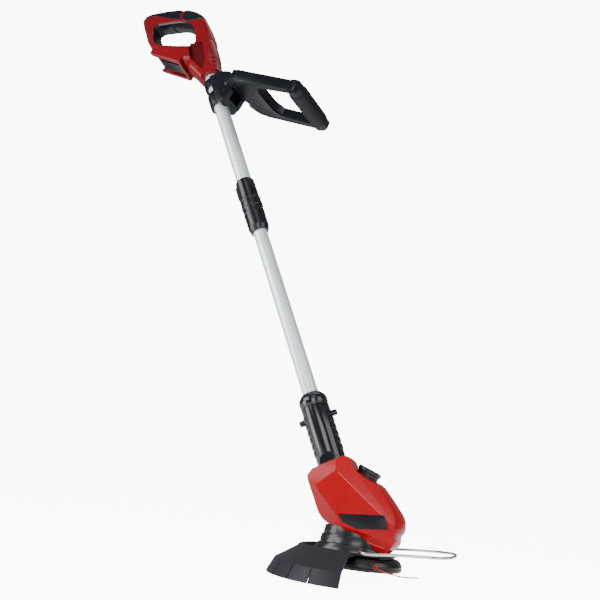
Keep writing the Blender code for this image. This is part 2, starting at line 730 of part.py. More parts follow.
clamp_frame = frame("clamp_frame", (0, 0, 0), 0, mouth_frame)
clamp_frame.rotation_euler = (0, 0, -LOOP_TURN)
loop_frame = frame("loop_frame", (LOOP_PIVOT_AHEAD, 0, -LOOP_PIVOT_BELOW_MOUTH), -LOOP_DROP, clamp_frame)
CLAMP_R = 19.5 * MM
CHEEK_INNER = 14 * MM
CHEEK_OUTER = 24 * MM
BARREL_R = 12.5 * MM
CLAMP_TOP = -14 * MM
CLAMP_BOTTOM = -74 * MM
CLAMP_GAP = (-28 * MM, -46 * MM)
CLAMP_SCREW_AT = (25 * MM, -66 * MM)


def clamp_halves():
    """Two mirrored halves that grip the upper tube with two rings and carry the loop's pivot."""
    ahead, below = LOOP_PIVOT_AHEAD, -LOOP_PIVOT_BELOW_MOUTH
    cheek = [(4 * MM, CLAMP_TOP - 4 * MM), (16 * MM, CLAMP_TOP + 2 * MM),
             (ahead + 6 * MM, CLAMP_TOP - 2 * MM),
             (ahead + 14 * MM, CLAMP_TOP - 10 * MM), (ahead + 14 * MM, below - 12 * MM),
             (ahead - 8 * MM, CLAMP_BOTTOM - 6 * MM), (10 * MM, CLAMP_BOTTOM - 10 * MM),
             (4 * MM, CLAMP_BOTTOM - 4 * MM)]
    body = plate("clamp_right", cheek, -CHEEK_OUTER, CHEEK_OUTER, black_plastic, clamp_frame)
    join(body, rod("ring", CLAMP_R, CLAMP_BOTTOM, CLAMP_TOP, None, clamp_frame, steps=TURN_STEPS))
    gap_top, gap_bottom = CLAMP_GAP
    fork = [(CLAMP_R + 0.6 * MM, 0), (0.2, 0), (0.2, -0.2), (CLAMP_R + 0.6 * MM, -0.2)]
    tools = [
        rod("bore", UPPER_TUBE_R + GAP, -0.2, 0, None, clamp_frame, steps=TURN_STEPS),
        block("gap", (-30 * MM, -30 * MM, gap_bottom), (2 * MM, 30 * MM, gap_top), None, clamp_frame),
        plate("fork", fork, -CHEEK_INNER, CHEEK_INNER, None, clamp_frame),
        rod("pivot_hole", BOLT_R + GAP, -30 * MM, 30 * MM, None, clamp_frame, (ahead, 0, below), "Y", 16),
        rod("screw_hole", 1.9 * MM, -30 * MM, 30 * MM, None, clamp_frame,
            (CLAMP_SCREW_AT[0], 0, CLAMP_SCREW_AT[1]), "Y", 10),
    ]
    cut(body, *tools)
    far = 0.2
    cut(body, block("left_half", (-far, -GAP / 2, -far), (far, far, far), None, clamp_frame))
    mirrored(smooth(body), "clamp_left")


def clamp_fasteners():
    """The loop's pivot bolt with its nut, and the clamp's own screw."""
    ahead, below = LOOP_PIVOT_AHEAD, -LOOP_PIVOT_BELOW_MOUTH
    head = 2.6 * MM
    bolt = turned("handle_bolt", [
        (0, head), (3.2 * MM, head), (5.2 * MM, 0.6 * MM), (5.2 * MM, 0), (BOLT_R, 0),
        (BOLT_R, -2 * CHEEK_OUTER - 5 * MM), (0, -2 * CHEEK_OUTER - 5 * MM)], steel, clamp_frame, steps=16)
    bolt.data.transform(Matrix.Rotation(math.pi / 2, 4, "X"))
    bolt.location = (ahead, -CHEEK_OUTER - GAP, below)
    nut = rod("handle_nut", 5.5 * MM, -4.2 * MM, 0, steel, clamp_frame, steps=6)
    cut(nut, rod("bore", BOLT_R + 0.1 * MM, -10 * MM, 10 * MM, None, clamp_frame, steps=16))
    nut.data.transform(Matrix.Rotation(math.pi / 2, 4, "X"))
    nut.location = (ahead, CHEEK_OUTER + GAP, below)
    x, z = CLAMP_SCREW_AT
    screw_piece("clamp_screw", (x, -CHEEK_OUTER - 2.4 * MM, z), (x, CHEEK_OUTER - 2 * MM, z),
                parent=clamp_frame, shank_r=1.6 * MM)


def loop_outline(half_width, rear, front, corner):
    """Half of the loop's plan outline, as a closed list with rounded front corners."""
    points = []
    for step in range(5):
        angle = math.pi / 2 * step / 4
        points.append((front - corner + corner * math.sin(angle),
                       half_width - corner + corner * math.cos(angle)))
    return rear + points + [(x, -y) for x, y in reversed(points)] + [(x, -y) for x, y in reversed(rear)]


def loop_handle():
    """The yoke, arms and grip bar as one moulding that turns on the clamp's bolt."""
    bar_depth = 14.5 * MM
    bar_height = 12.5 * MM
    arm = 13 * MM
    outer = loop_outline(LOOP_HALF_WIDTH + arm / 2,
                         [(0, 12.5 * MM), (18 * MM, 12.5 * MM), (26 * MM, 22 * MM),
                                                     (50 * MM, LOOP_HALF_WIDTH + arm / 2)],
                         LOOP_REACH + 8 * MM, 12 * MM)
    hole = loop_outline(LOOP_HALF_WIDTH - arm / 2, [(84 * MM, 28 * MM), (94 * MM, 46 * MM)],
                        LOOP_REACH - 8 * MM, 6 * MM)
    slab = plate("loop_handle", outer, -9 * MM, 9 * MM, black_plastic, None, hole=hole)
    slab.data.transform(Matrix.Rotation(-math.pi / 2, 4, "X"))
    slab.parent = loop_frame
    barrel = rod("barrel", BARREL_R, -13 * MM, 13 * MM, None, loop_frame, axis="Y", steps=24)
    bar = loft("bar", [[(LOOP_REACH + u, level, v) for u, v in superellipse(bar_height, bar_depth, 16)]
                       for level in (-LOOP_HALF_WIDTH - 4 * MM, LOOP_HALF_WIDTH + 4 * MM)], None, loop_frame)
    join(slab, barrel, bar)
    tread = rod("tread", BOLT_R + GAP, -30 * MM, 30 * MM, None, loop_frame, axis="Y", steps=16)
    cut(slab, tread)
    smooth(slab)
    rings = []
    for level in (-LOOP_HALF_WIDTH + 11 * MM, LOOP_HALF_WIDTH - 11 * MM):
        outer_ring = superellipse(bar_height + GAP + PAD_THICKNESS, bar_depth + GAP + PAD_THICKNESS, 16)
        inner_ring = superellipse(bar_height + GAP, bar_depth + GAP, 16)
        rings.append([(LOOP_REACH + u, level, v) for u, v in outer_ring + list(reversed(inner_ring))])
    bm = bmesh.new()
    rows = [[bm.verts.new(point) for point in ring] for ring in rings]
    for index in range(16):
        following = (index + 1) % 16
        inner, inner_next = 31 - index, 31 - following
        near, far = rows
        bm.faces.new((near[index], near[following], far[following], far[index]))
        bm.faces.new((near[inner], near[inner_next], far[inner_next], far[inner]))
        for row in rows:
            bm.faces.new((row[index], row[following], row[inner_next], row[inner]))
    smooth(mesh_object("loop_grip_cover", bm, soft_rubber, loop_frame))


clamp_halves()
clamp_fasteners()
loop_handle()


# Neck

SWIVEL_R = 15.5 * MM
NECK_BORE = LOWER_TUBE_R + GAP
BUTTON_STATION = 66 * MM


def ear_sweep():
    """Outline of the space that the pod's ears sweep in the neck's round end, in the neck's own plane."""
    radius = EAR_R + RUNNING
    reach = 30 * MM
    arc = [TILT_RANGE + (math.pi - 2 * TILT_RANGE) * step / 8 for step in range(9)]
    points = [(radius * math.cos(angle), radius * math.sin(angle)) for angle in arc]
    first_x, first_z = points[0]
    spread = first_x + (reach + first_z) * math.tan(TILT_RANGE)
    return points + [(-spread, -reach), (spread, -reach)]


def neck():
    """The neck's two shells on the lower tube, with a drum for the tilt pivot, and its collar."""
    round_end = [(NECK_R * math.cos(step * math.pi / 12), -NECK_R * math.sin(step * math.pi / 12))
                 for step in range(1, 6)]
    profile = [(0, NECK_LENGTH), (NECK_R, NECK_LENGTH), (NECK_R, 0)] + round_end + [(0, -NECK_R)]
    body = turned("neck_shell_right", profile, black_plastic, neck_frame)
    join(body, rod("cap", PIVOT_CAP_R, -NECK_HALF_WIDTH, NECK_HALF_WIDTH, None, neck_frame,
                   axis="Y", steps=20))
    pitch = (NECK_LENGTH - 22 * MM) / RIB_COUNT
    for index in range(RIB_COUNT):
        low = 13 * MM + index * pitch
        rib = rod("rib", NECK_R + RIB_DEPTH, low, low + pitch * 0.72, None, neck_frame, steps=TURN_STEPS)
        window = block("window", (-30 * MM, -14 * MM, low - MM), (30 * MM, 14 * MM, low + pitch),
                       None, neck_frame)
        combine(rib, window, "INTERSECT")
        join(body, rib)
    swivel_low = NECK_LENGTH - TUBE_IN_NECK - 12 * MM
    tools = [
        rod("bore", NECK_BORE, swivel_low, NECK_LENGTH + MM, None, neck_frame, steps=TURN_STEPS),
        rod("swivel_seat", SWIVEL_R + GAP, swivel_low, swivel_low + 10 * MM, None, neck_frame,
            steps=TURN_STEPS),
        rod("duct", 5 * MM, -30 * MM, swivel_low + MM, None, neck_frame, steps=16),
        rod("pin_hole", TILT_PIN_R + GAP, -30 * MM, -PIN_INNER + GAP, None, neck_frame, axis="Y", steps=16),
        rod("pin_hole", TILT_PIN_R + GAP, PIN_INNER - GAP, 30 * MM, None, neck_frame, axis="Y", steps=16),
        plate("ear_slot", ear_sweep(), -EAR_OUTER - RUNNING, -EAR_INNER + RUNNING, None, neck_frame),
        plate("ear_slot", ear_sweep(), EAR_INNER - RUNNING, EAR_OUTER + RUNNING, None, neck_frame),
        rod("button_hole", DETENT_BUTTON_R + GAP, -31 * MM, 31 * MM, None, neck_frame,
            (0, 0, BUTTON_STATION), "X", 18),
    ]
    cut(body, *tools)
    far = 0.2
    cut(body, block("left_half", (-far, -GAP / 2, -far), (far, far, far), None, neck_frame))
    mirrored(smooth(body), "neck_shell_left")
    spigot_r = LOWER_TUBE_R - TUBE_WALL - GAP
    turned("swivel_sleeve", [
        (SWIVEL_R, swivel_low + 9.7 * MM), (SWIVEL_R, swivel_low + GAP),
        (spigot_r - 3 * MM, swivel_low + GAP),
        (spigot_r - 3 * MM, swivel_low + 27 * MM), (spigot_r, swivel_low + 27 * MM),
        (spigot_r, swivel_low + 9.7 * MM)], white_plastic, neck_frame)
    top = NECK_LENGTH + NECK_COLLAR_LENGTH
    turned("neck_collar", [
        (14.2 * MM, top), (20.6 * MM, top - 8 * MM), (21.6 * MM, NECK_LENGTH + 2 * MM),
        (20.4 * MM, NECK_LENGTH + GAP), (NECK_BORE, NECK_LENGTH + GAP), (NECK_BORE, top)],
        black_plastic, neck_frame)


def detent_buttons():
    """The front and rear detent buttons that free the neck's swivel."""
    inner = LOWER_TUBE_R + RUNNING + DETENT_TRAVEL
    for name, side in (("front", 1), ("rear", -1)):
        profile = [(0, DETENT_BUTTON_HEIGHT), (2.8 * MM, DETENT_BUTTON_HEIGHT),
                   (DETENT_BUTTON_R, DETENT_BUTTON_HEIGHT - 2 * MM), (DETENT_BUTTON_R, 2 * MM),
                   (2 * MM, 2 * MM), (2 * MM, 0), (0, 0)]
        button = turned("neck_button_" + name, profile, black_plastic, neck_frame, steps=16)
        button.data.transform(Matrix.Rotation(side * math.pi / 2, 4, "Y"))
        button.location = (side * inner, 0, BUTTON_STATION)


# Motor head

# The side outline of the red shells in the head frame, clockwise from the front of the neck:
# x, z and the half width there
POD_OUTLINE = [
    (-30.5 * MM, 156 * MM, 25.5 * MM), (-22 * MM, 151 * MM, 25.5 * MM), (-17 * MM, 139 * MM, 28 * MM),
    (2 * MM, 127.5 * MM, 31 * MM), (21 * MM, 120.5 * MM, 32 * MM), (35 * MM, 104 * MM, 35 * MM),
    (46 * MM, 90 * MM, 36.5 * MM), (53 * MM, 79 * MM, 36.5 * MM), (53.5 * MM, 64 * MM, 36.5 * MM),
    (47 * MM, 56.5 * MM, 36.5 * MM), (47 * MM, 47 * MM, 36.5 * MM), (33 * MM, 34 * MM, 36.5 * MM),
    (8 * MM, 39.5 * MM, 36.5 * MM), (-18 * MM, 51.5 * MM, 36.5 * MM), (-41 * MM, 62 * MM, 36.5 * MM),
    (-56 * MM, 69 * MM, 36.5 * MM), (-66 * MM, 79 * MM, 35.5 * MM), (-74 * MM, 97 * MM, 33 * MM),
    (-80 * MM, 112 * MM, 30 * MM), (-83 * MM, 124 * MM, 27 * MM), (-76.5 * MM, 134 * MM, 25.5 * MM),
]


def inset_outline(points, distance):
    """Move a clockwise outline inward by a distance, along the bisectors of its corners."""
    moved = []
    count = len(points)
    for index in range(count):
        before = Vector(points[index - 1][:2])
        here = Vector(points[index][:2])
        after = Vector(points[(index + 1) % count][:2])
        first = (here - before).normalized()
        second = (after - here).normalized()
        bisector = Vector((first.y + second.y, -first.x - second.x)).normalized()
        spread = max(0.5, bisector.dot(Vector((first.y, -first.x))))
        moved.append(tuple(here + bisector * distance / spread))
    return moved


POD_SPINE = (Vector((-53.4 * MM, 134 * MM)), Vector((-8 * MM, 76 * MM)))


def toward_spine(point, share):
    """Move a point of the pod's outline by a share of its way to the spine, with its place on it."""
    start, end = POD_SPINE
    along = end - start
    station = max(0.0, min(1.0, (Vector(point) - start).dot(along) / along.length_squared))
    x, z = Vector(point).lerp(start + along * station, share)
    return x, z, station


def pod_rings(side, wall=0.0):
    """Sections of one half of the red pod, from the middle plane out to the spine of its side panel."""
    outline = inset_outline(POD_OUTLINE, wall)
    rings = []
    for share, pull in [(0.0, 0.0), (0.55, 0.03), (0.84, 0.14), (1.0, 0.28), (1.0, 0.85)]:
        ring = []
        for point, (_, _, width) in zip(outline, POD_OUTLINE):
            x, z, station = toward_spine(point, pull)
            if pull > 0.5:
                width = CHEEK_HALF_WIDTH + 1 * MM + (POD_HALF_WIDTH - CHEEK_HALF_WIDTH - 1 * MM) * station
            ring.append((x, side * share * (width - wall), z))
        rings.append(ring)
    return rings


def neck_fan(radius, swing):
    """Outline of the space that the neck sweeps above the tilt pivot, in the neck's own plane."""
    reach = 60 * MM
    steps = 16
    arc = [math.pi - swing + (math.pi + 2 * swing) * index / steps for index in range(steps + 1)]
    points = [(radius * math.cos(angle), radius * math.sin(angle)) for angle in arc]
    (first_x, first_z), (last_x, last_z) = points[0], points[-1]
    points.append((last_x + reach * math.sin(swing), last_z + reach * math.cos(swing)))
    points.append((first_x - reach * math.sin(swing), first_z + reach * math.cos(swing)))
    return points


def housing_rings(grow=0.0, low=0.0, high=0.0):
    """Sections of the black lower housing: x offset, height, half length and half width."""
    sections = [
        (-17 * MM, DISC_Z + GAP, 52 * MM, 42 * MM),
        (-16 * MM, 44 * MM, 44.5 * MM, 38 * MM),
        (-14 * MM, 56 * MM, 42.5 * MM, 34 * MM),
        (-13 * MM, HOUSING_TOP + high, 41 * MM, 31 * MM),
    ]
    if low:
        x, z, length, width = sections[0]
        sections.insert(0, (x, z - low, length, width))
    return [[(x + u, v, z) for u, v in superellipse(width + grow, length + grow, 20, 2.2)]
            for x, z, length, width in sections]


def pod_shells():
    """The red right and left shells of the motor head."""
    shells = []
    for name, side in (("right", -1), ("left", 1)):
        shell = loft("pod_shell_" + name, pod_rings(side), red_plastic, head_frame)
        hollow_rings = pod_rings(side, SHELL_WALL)
        hollow_rings[0] = [(x, -side * 5 * MM, z) for x, _, z in hollow_rings[0]]
        cut(shell, loft("hollow", hollow_rings, None, head_frame))
        for x, z in POD_SCREWS:
            join(shell, rod("boss", 3.8 * MM, min(0, side * 32 * MM), max(0, side * 32 * MM), None,
                            head_frame, (x, 0, z), "Y", 10))
        half_gap = block("half_gap", (-0.2, -GAP / 2, -0.2), (0.2, GAP / 2, 0.3), None, head_frame)
        fan = plate("fan", neck_fan(NECK_HALF_WIDTH + 0.9 * MM, TILT_RANGE), -NECK_HALF_WIDTH - 0.8 * MM,
                    NECK_HALF_WIDTH + 0.8 * MM, None, neck_frame)
        room = loft("room", housing_rings(GAP, 10 * MM, GAP), None, head_frame)
        well = rod("well", TILT_BUTTON_R + GAP, -6 * MM, 30 * MM, None, tilt_button_frame, steps=TURN_STEPS)
        cut(shell, half_gap, fan, room, well)
        outline = [(EAR_R * math.cos(math.pi * step / 10), EAR_R * math.sin(math.pi * step / 10))
                   for step in range(11)] + [(-EAR_R, -EAR_FOOT), (EAR_R, -EAR_FOOT)]
        near, far = sorted((side * EAR_INNER, side * EAR_OUTER))
        ear = plate("ear", outline, near, far, None, neck_frame)
        near, far = sorted((side * (EAR_INNER + MM), side * (CHEEK_HALF_WIDTH + 3 * MM)))
        bridge = block("bridge", (MM - EAR_R, near, MM - EAR_FOOT), (EAR_R - MM, far, -NECK_R - 3 * MM),
                       None, neck_frame)
        near, far = sorted((side * GAP / 2, side * (CHEEK_HALF_WIDTH + 5 * MM)))
        seat = block("seat", (-6 * MM, near, -11.5 * MM), (6 * MM, far, -9.2 * MM), None, tilt_button_frame)
        join(ear, bridge)
        join(shell, ear, seat)
        pin_hole = rod("pin_hole", TILT_PIN_R + GAP, -30 * MM, 30 * MM, None, neck_frame, axis="Y", steps=16)
        cut(shell, pin_hole)
        for x, z in POD_SCREWS:
            cut(shell, rod("hole", 1.5 * MM + GAP, -18 * MM, 60 * MM, None, head_frame, (x, 0, z), "Y", 10))
            if side == 1:
                recess = rod("recess", 3.2 * MM + GAP, 26 * MM, 60 * MM, None, head_frame,
                             (x, 0, z), "Y", 10)
                cut(shell, recess)
        shells.append(smooth(shell))
    for index, (x, z) in enumerate(POD_SCREWS):
        screw_piece(f"pod_screw_{index + 1}", (x, 28 * MM, z), (x, -16 * MM, z), parent=head_frame)
    return shells


POD_SCREWS = [(-66 * MM, 104 * MM), (40 * MM, 78 * MM)]
TILT_BUTTON_BASE = Vector((-3.4 * MM, 0, 127.5 * MM))
tilt_button_frame = frame("tilt_button_frame", TILT_BUTTON_BASE, -TILT_BUTTON_LEAN, head_frame)


def pod_fittings():
    """The tilt button and its spring, the tilt pin, the blank name plate and the motor."""
    turned("tilt_button", [
        (0, 11.5 * MM), (TILT_BUTTON_R - 1.6 * MM, 11.5 * MM), (TILT_BUTTON_R, 10 * MM),
        (TILT_BUTTON_R, -4 * MM), (TILT_BUTTON_R - 2 * MM, -4 * MM), (TILT_BUTTON_R - 2 * MM, 8 * MM),
        (0, 8 * MM)], black_plastic, tilt_button_frame)
    spring_low = -8 * MM
    turns = coil(5.5 * MM, spring_low, 7 * MM, 3, 8)
    wire("tilt_button_spring", turns, 0.6 * MM, steel, tilt_button_frame, 1)
    outer_end = NECK_HALF_WIDTH - 1 * MM
    rod("tilt_pin_right", TILT_PIN_R, -outer_end, -PIN_INNER, steel, neck_frame, axis="Y", steps=16)
    rod("tilt_pin_left", TILT_PIN_R, PIN_INNER, outer_end, steel, neck_frame, axis="Y", steps=16)

    outline = [(-33 * MM, 78.5 * MM), (21 * MM, 82 * MM), (30 * MM, 66 * MM), (-10 * MM, 63 * MM),
               (-23 * MM, 69 * MM)]
    back = -POD_HALF_WIDTH - GAP
    plate("name_plate", outline, back - 0.8 * MM, back, black_plastic, head_frame)

    turned("motor_can", [
        (0, MOTOR_BASE + MOTOR_LENGTH + 4 * MM), (9 * MM, MOTOR_BASE + MOTOR_LENGTH + 4 * MM),
        (9 * MM, MOTOR_BASE + MOTOR_LENGTH), (MOTOR_R, MOTOR_BASE + MOTOR_LENGTH), (MOTOR_R, MOTOR_BASE),
        (6.5 * MM, MOTOR_BASE), (6.5 * MM, MOTOR_BASE - 5 * MM),
        (SPINDLE_R + 0.05 * MM, MOTOR_BASE - 5 * MM),
        (SPINDLE_R + 0.05 * MM, MOTOR_BASE + 20 * MM), (0, MOTOR_BASE + 20 * MM)], steel, head_frame)
    rod("motor_shaft", SPINDLE_R, SPOOL_BOTTOM + 7.2 * MM, MOTOR_BASE + 19.5 * MM, steel, head_frame,
        steps=16)


def lower_housing():
    """The black housing under the red pod: a hollow box with a deck that carries the motor."""
    body = loft("lower_housing", housing_rings(), guard_plastic, head_frame)
    wall = -2.6 * MM
    inner = loft("inner", [[(x, y, min(max(z, DISC_Z + 3 * MM), HOUSING_TOP - DECK)) for x, y, z in ring]
                           for ring in housing_rings(wall)], None, head_frame)
    cut(body, inner)
    cut(body,
        rod("nose_hole", 6.5 * MM + GAP, HOUSING_TOP - 10 * MM, HOUSING_TOP + 10 * MM, None, head_frame,
            steps=20),
        rod("spindle_hole", 9 * MM, DISC_Z - 5 * MM, DISC_Z + 10 * MM, None, head_frame, steps=20),
        rod("wire_hole", WIRE_R + GAP, -60 * MM, 60 * MM, None, head_frame,
            (WIRE_PIVOT[0], 0, WIRE_PIVOT[1]), "Y", 10))
    for x, y in GUARD_SCREWS:
        join(body, rod("boss", 4.5 * MM, DISC_Z + GAP, HOUSING_TOP - 1 * MM, None, head_frame, (x, y, 0),
                       steps=10))
        cut(body, rod("hole", 1.5 * MM + GAP, DISC_Z - 5 * MM, DISC_Z + 15 * MM, None, head_frame, (x, y, 0),
                      steps=10))
    smooth(body)


cutter_frame = frame("cutter_frame", (0, 0, 0), 0, head_frame)
cutter_frame.rotation_euler = (0, 0, math.pi - GUARD_END_LEFT)


def guard():
    """The dark guard: a flat disc, a cone and a flared skirt behind the spool, with a round hub."""
    wall = GUARD_WALL
    outer = [(DISC_R - 2 * MM, DISC_Z), (DISC_R - 2 * MM, DISC_Z + 1.6 * MM), (DISC_R, DISC_Z + 1.6 * MM),
             (CREASE_R, CREASE_Z), (RIM_R, 0), (RIM_R - wall, 0),
             (CREASE_R - wall * 1.1, CREASE_Z - wall * 0.5), (DISC_R - wall * 0.6, DISC_Z - wall),
             (SPINDLE_HOLE_R, DISC_Z - wall), (SPINDLE_HOLE_R, DISC_Z)]
    body = turned("guard", outer, guard_plastic, head_frame, steps=40)
    far = 0.2
    start, end = math.pi - GUARD_END_LEFT, math.pi + GUARD_END_RIGHT
    reach = [(far * math.cos(angle), far * math.sin(angle))
             for angle in (end + (start + 2 * math.pi - end) * step / 4 for step in range(5))]
    sector = plate("sector", [(0, 0)] + reach, -0.1, 0.1, None, head_frame)
    sector.data.transform(Matrix.Rotation(math.pi / 2, 4, "X"))
    sector.data.transform(Matrix.Diagonal((1, -1, 1, 1)))
    turned_out(sector)
    keep = rod("keep", GUARD_HUB_R, -0.05, 0.1, None, head_frame, steps=32)
    combine(sector, keep, "DIFFERENCE")
    cut(body, sector)
    for index in range(SKIRT_SLITS):
        angle = start + (end - start) * (index + 1) / (SKIRT_SLITS + 1)
        slit = block("slit", (CREASE_R - 2 * MM, -0.5 * MM, -5 * MM),
                     (RIM_R + 5 * MM, 0.5 * MM, CREASE_Z - 2 * MM), None, head_frame)
        slit.rotation_euler = (0, 0, angle)
        cut(body, slit)
    boss = block("cutter_boss", (CUTTER_R + 1 * MM, 4 * MM, CUTTER_LOW - 1 * MM),
                 (CREASE_R, 12 * MM, CUTTER_HIGH + 0.5 * MM), None, cutter_frame)
    join(body, boss)
    screw_at = (CUTTER_R + 5 * MM, 0, (CUTTER_LOW + CUTTER_HIGH) / 2)
    cut(body, rod("hole", 1.5 * MM + GAP, 0, 10.5 * MM, None, cutter_frame, screw_at, "Y", 10))
    for index, (x, y) in enumerate(GUARD_SCREWS):
        cut(body, rod("hole", 1.5 * MM + GAP, 0, 0.1, None, head_frame, (x, y, 0), steps=10),
            rod("sink", 3.2 * MM + GAP, 0, DISC_Z - 1.0 * MM, None, head_frame, (x, y, 0), steps=10))
        screw_piece(f"guard_screw_{index + 1}", (x, y, DISC_Z - 1.0 * MM - GAP - 1.3 * MM),
                    (x, y, DISC_Z + 13 * MM), parent=head_frame, head_height=1.3 * MM)
    smooth(body, 30)


def line_cutter():
    """The blade on the guard's left end that trims the line, with its screw."""
    blade = block("line_cutter", (CUTTER_R, 2.5 * MM, CUTTER_LOW),
                  (CUTTER_R + 9.5 * MM, 4 * MM - GAP, CUTTER_HIGH), steel, cutter_frame)
    x, y, middle = CUTTER_R + 5 * MM, 0.8 * MM, (CUTTER_LOW + CUTTER_HIGH) / 2
    cut(blade, rod("hole", 1.5 * MM + GAP, -5 * MM, 10 * MM, None, cutter_frame, (x, 0, middle), "Y", 10))
    screw_piece("cutter_screw", (x, y, middle), (x, 10 * MM, middle),
                parent=cutter_frame, head_r=3 * MM, head_height=1.4 * MM)


def wire_guard():
    """The wire plant guard: a U in front of the spool whose ends turn in the lower housing."""
    x0, z0 = WIRE_PIVOT
    side, reach = WIRE_HALF_WIDTH, WIRE_REACH
    half = [(x0, side - 37 * MM, z0), (x0, side - 23 * MM, z0 - 0.5 * MM),
            (x0 + 1 * MM, side - 12 * MM, z0 - 1.5 * MM),
            (x0 + 6 * MM, side - 3 * MM, z0 - 3 * MM), (x0 + 16 * MM, side, z0 - 3.5 * MM),
            (reach - 68 * MM, side, z0 - 1 * MM), (reach - 30 * MM, side - 1 * MM, z0 + 1 * MM),
            (reach - 15 * MM, side - 7 * MM, z0 + 1.5 * MM), (reach - 6 * MM, side - 21 * MM, z0 + 2 * MM),
            (reach - 1 * MM, side - 47 * MM, z0 + 2.5 * MM), (reach, 0, z0 + 2.5 * MM)]
    route = half + [(x, -y, z) for x, y, z in reversed(half[:-1])]
    wire("wire_guard", open_curve(route, 2), WIRE_R, steel, head_frame, 2)


# Cutting head

def cutting_head():
    """The spool housing on the motor shaft, its cover, the reel, its spring, the winding and the line."""
    wall = 2.2 * MM
    hub_r = 7 * MM
    base = turned("spool_base", [
        (hub_r, SPOOL_TOP), (SPOOL_R - 3 * MM, SPOOL_TOP), (SPOOL_R, SPOOL_TOP - 3 * MM),
        (SPOOL_R, SPOOL_BOTTOM + 4 * MM), (SPOOL_R - wall, SPOOL_BOTTOM + 4 * MM),
        (SPOOL_R - wall, SPOOL_TOP - wall), (hub_r, SPOOL_TOP - wall),
        (hub_r, SPOOL_BOTTOM + 7.5 * MM), (SPINDLE_R + 0.05 * MM, SPOOL_BOTTOM + 7.5 * MM),
        (SPINDLE_R + 0.05 * MM, SPOOL_TOP)], black_plastic, head_frame, steps=28)
    exit_z = SPOOL_BOTTOM + 6.5 * MM
    hole = rod("exit", 2.6 * MM, SPOOL_R - 6 * MM, SPOOL_R + 6 * MM, None, head_frame, (0, 0, exit_z),
               "X", 12)
    hole.rotation_euler = (0, 0, LINE_EXIT)
    cut(base, hole)
    smooth(base)
    eyelet = turned("line_eyelet", [
        (3.4 * MM, 1.6 * MM), (3.4 * MM, 0.2 * MM), (2.3 * MM, 0.2 * MM), (2.3 * MM, -wall - 0.6 * MM),
        (1.3 * MM, -wall - 0.6 * MM), (1.3 * MM, 1.6 * MM)], red_line, head_frame, steps=10)
    direction = Vector((math.cos(LINE_EXIT), math.sin(LINE_EXIT), 0))
    turn = Vector((0, 0, 1)).rotation_difference(direction).to_matrix().to_4x4()
    place = Matrix.Translation(direction * (SPOOL_R + 0.2 * MM) + Vector((0, 0, exit_z)))
    eyelet.data.transform(place @ turn)

    cover_top = SPOOL_BOTTOM + 2 * MM
    floor_top = SPOOL_BOTTOM + 4 * MM
    turned("spool_reel", [
        (0, floor_top), (11 * MM, floor_top), (11 * MM, SPOOL_TOP - 5 * MM), (44 * MM, SPOOL_TOP - 5 * MM),
        (44 * MM, SPOOL_TOP - 6.2 * MM), (16 * MM, SPOOL_TOP - 6.2 * MM),
        (16 * MM, SPOOL_BOTTOM + 4.6 * MM), (44 * MM, SPOOL_BOTTOM + 4.6 * MM),
        (44 * MM, SPOOL_BOTTOM + 3.4 * MM), (20 * MM, SPOOL_BOTTOM + 3.4 * MM),
        (20 * MM, cover_top + GAP), (BUMP_KNOB_R, cover_top + GAP),
        (BUMP_KNOB_R, BUMP_KNOB_BOTTOM + 1.5 * MM),
        (BUMP_KNOB_R - 2 * MM, BUMP_KNOB_BOTTOM), (0, BUMP_KNOB_BOTTOM)], red_line, head_frame, steps=24)
    turned("line_winding", [
        (38 * MM, SPOOL_TOP - 6.5 * MM), (38 * MM, SPOOL_BOTTOM + 4.9 * MM),
        (16.3 * MM, SPOOL_BOTTOM + 4.9 * MM), (16.3 * MM, SPOOL_TOP - 6.5 * MM)], red_line, head_frame,
        steps=24)
    turns = coil(8.9 * MM, floor_top + 1 * MM, SPOOL_TOP - wall - 1 * MM, 2, 9)
    wire("spool_spring", turns, 0.6 * MM, steel, head_frame, 1)
    knob_hole = BUMP_KNOB_R + RUNNING
    turned("spool_cover", [
        (SPOOL_R - 0.6 * MM, cover_top), (SPOOL_R - 0.6 * MM, SPOOL_BOTTOM + 3.7 * MM),
        (SPOOL_R + 0.4 * MM, SPOOL_BOTTOM + 3.7 * MM), (SPOOL_R - 1.5 * MM, SPOOL_BOTTOM),
        (knob_hole, SPOOL_BOTTOM), (knob_hole, cover_top)], black_plastic, head_frame, steps=28)


def cutting_line():
    """The free end of the line, from the eyelet to its tip."""
    exit_z = SPOOL_BOTTOM + 6.5 * MM
    direction = Vector((math.cos(LINE_EXIT), math.sin(LINE_EXIT), 0))
    start = direction * (SPOOL_R - LINE_TUCK) + Vector((0, 0, exit_z))
    second = direction * (SPOOL_R + 5 * MM) + Vector((0, 0, exit_z - 0.4 * MM))
    route = [tuple(start), tuple(second), (35 * MM, -57.5 * MM, 17.4 * MM), (52 * MM, -63.5 * MM, 15.6 * MM),
             (66 * MM, -67.5 * MM, 15.8 * MM), (78 * MM, -70 * MM, 17.4 * MM)]
    wire("cutting_line", open_curve(route, 4), LINE_R, red_line, head_frame, 2)


neck()
detent_buttons()
pod_shells()
pod_fittings()
lower_housing()
guard()
line_cutter()
wire_guard()
cutting_head()
cutting_line()
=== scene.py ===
"""Looks of the cordless string trimmer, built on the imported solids.

Every piece is worked out in a local frame in millimetres and then placed in the part's own frame:
SHAFT has its z up the shaft with its origin where the tube leaves the rear handle, NECK is the same
frame moved to the tilt pivot, and HEAD has its z on the spool axis from the guard's lower rim.
"""

import json
import math
from contextlib import contextmanager

import bmesh
import bpy
import numpy as np
from mathutils import Matrix, Vector


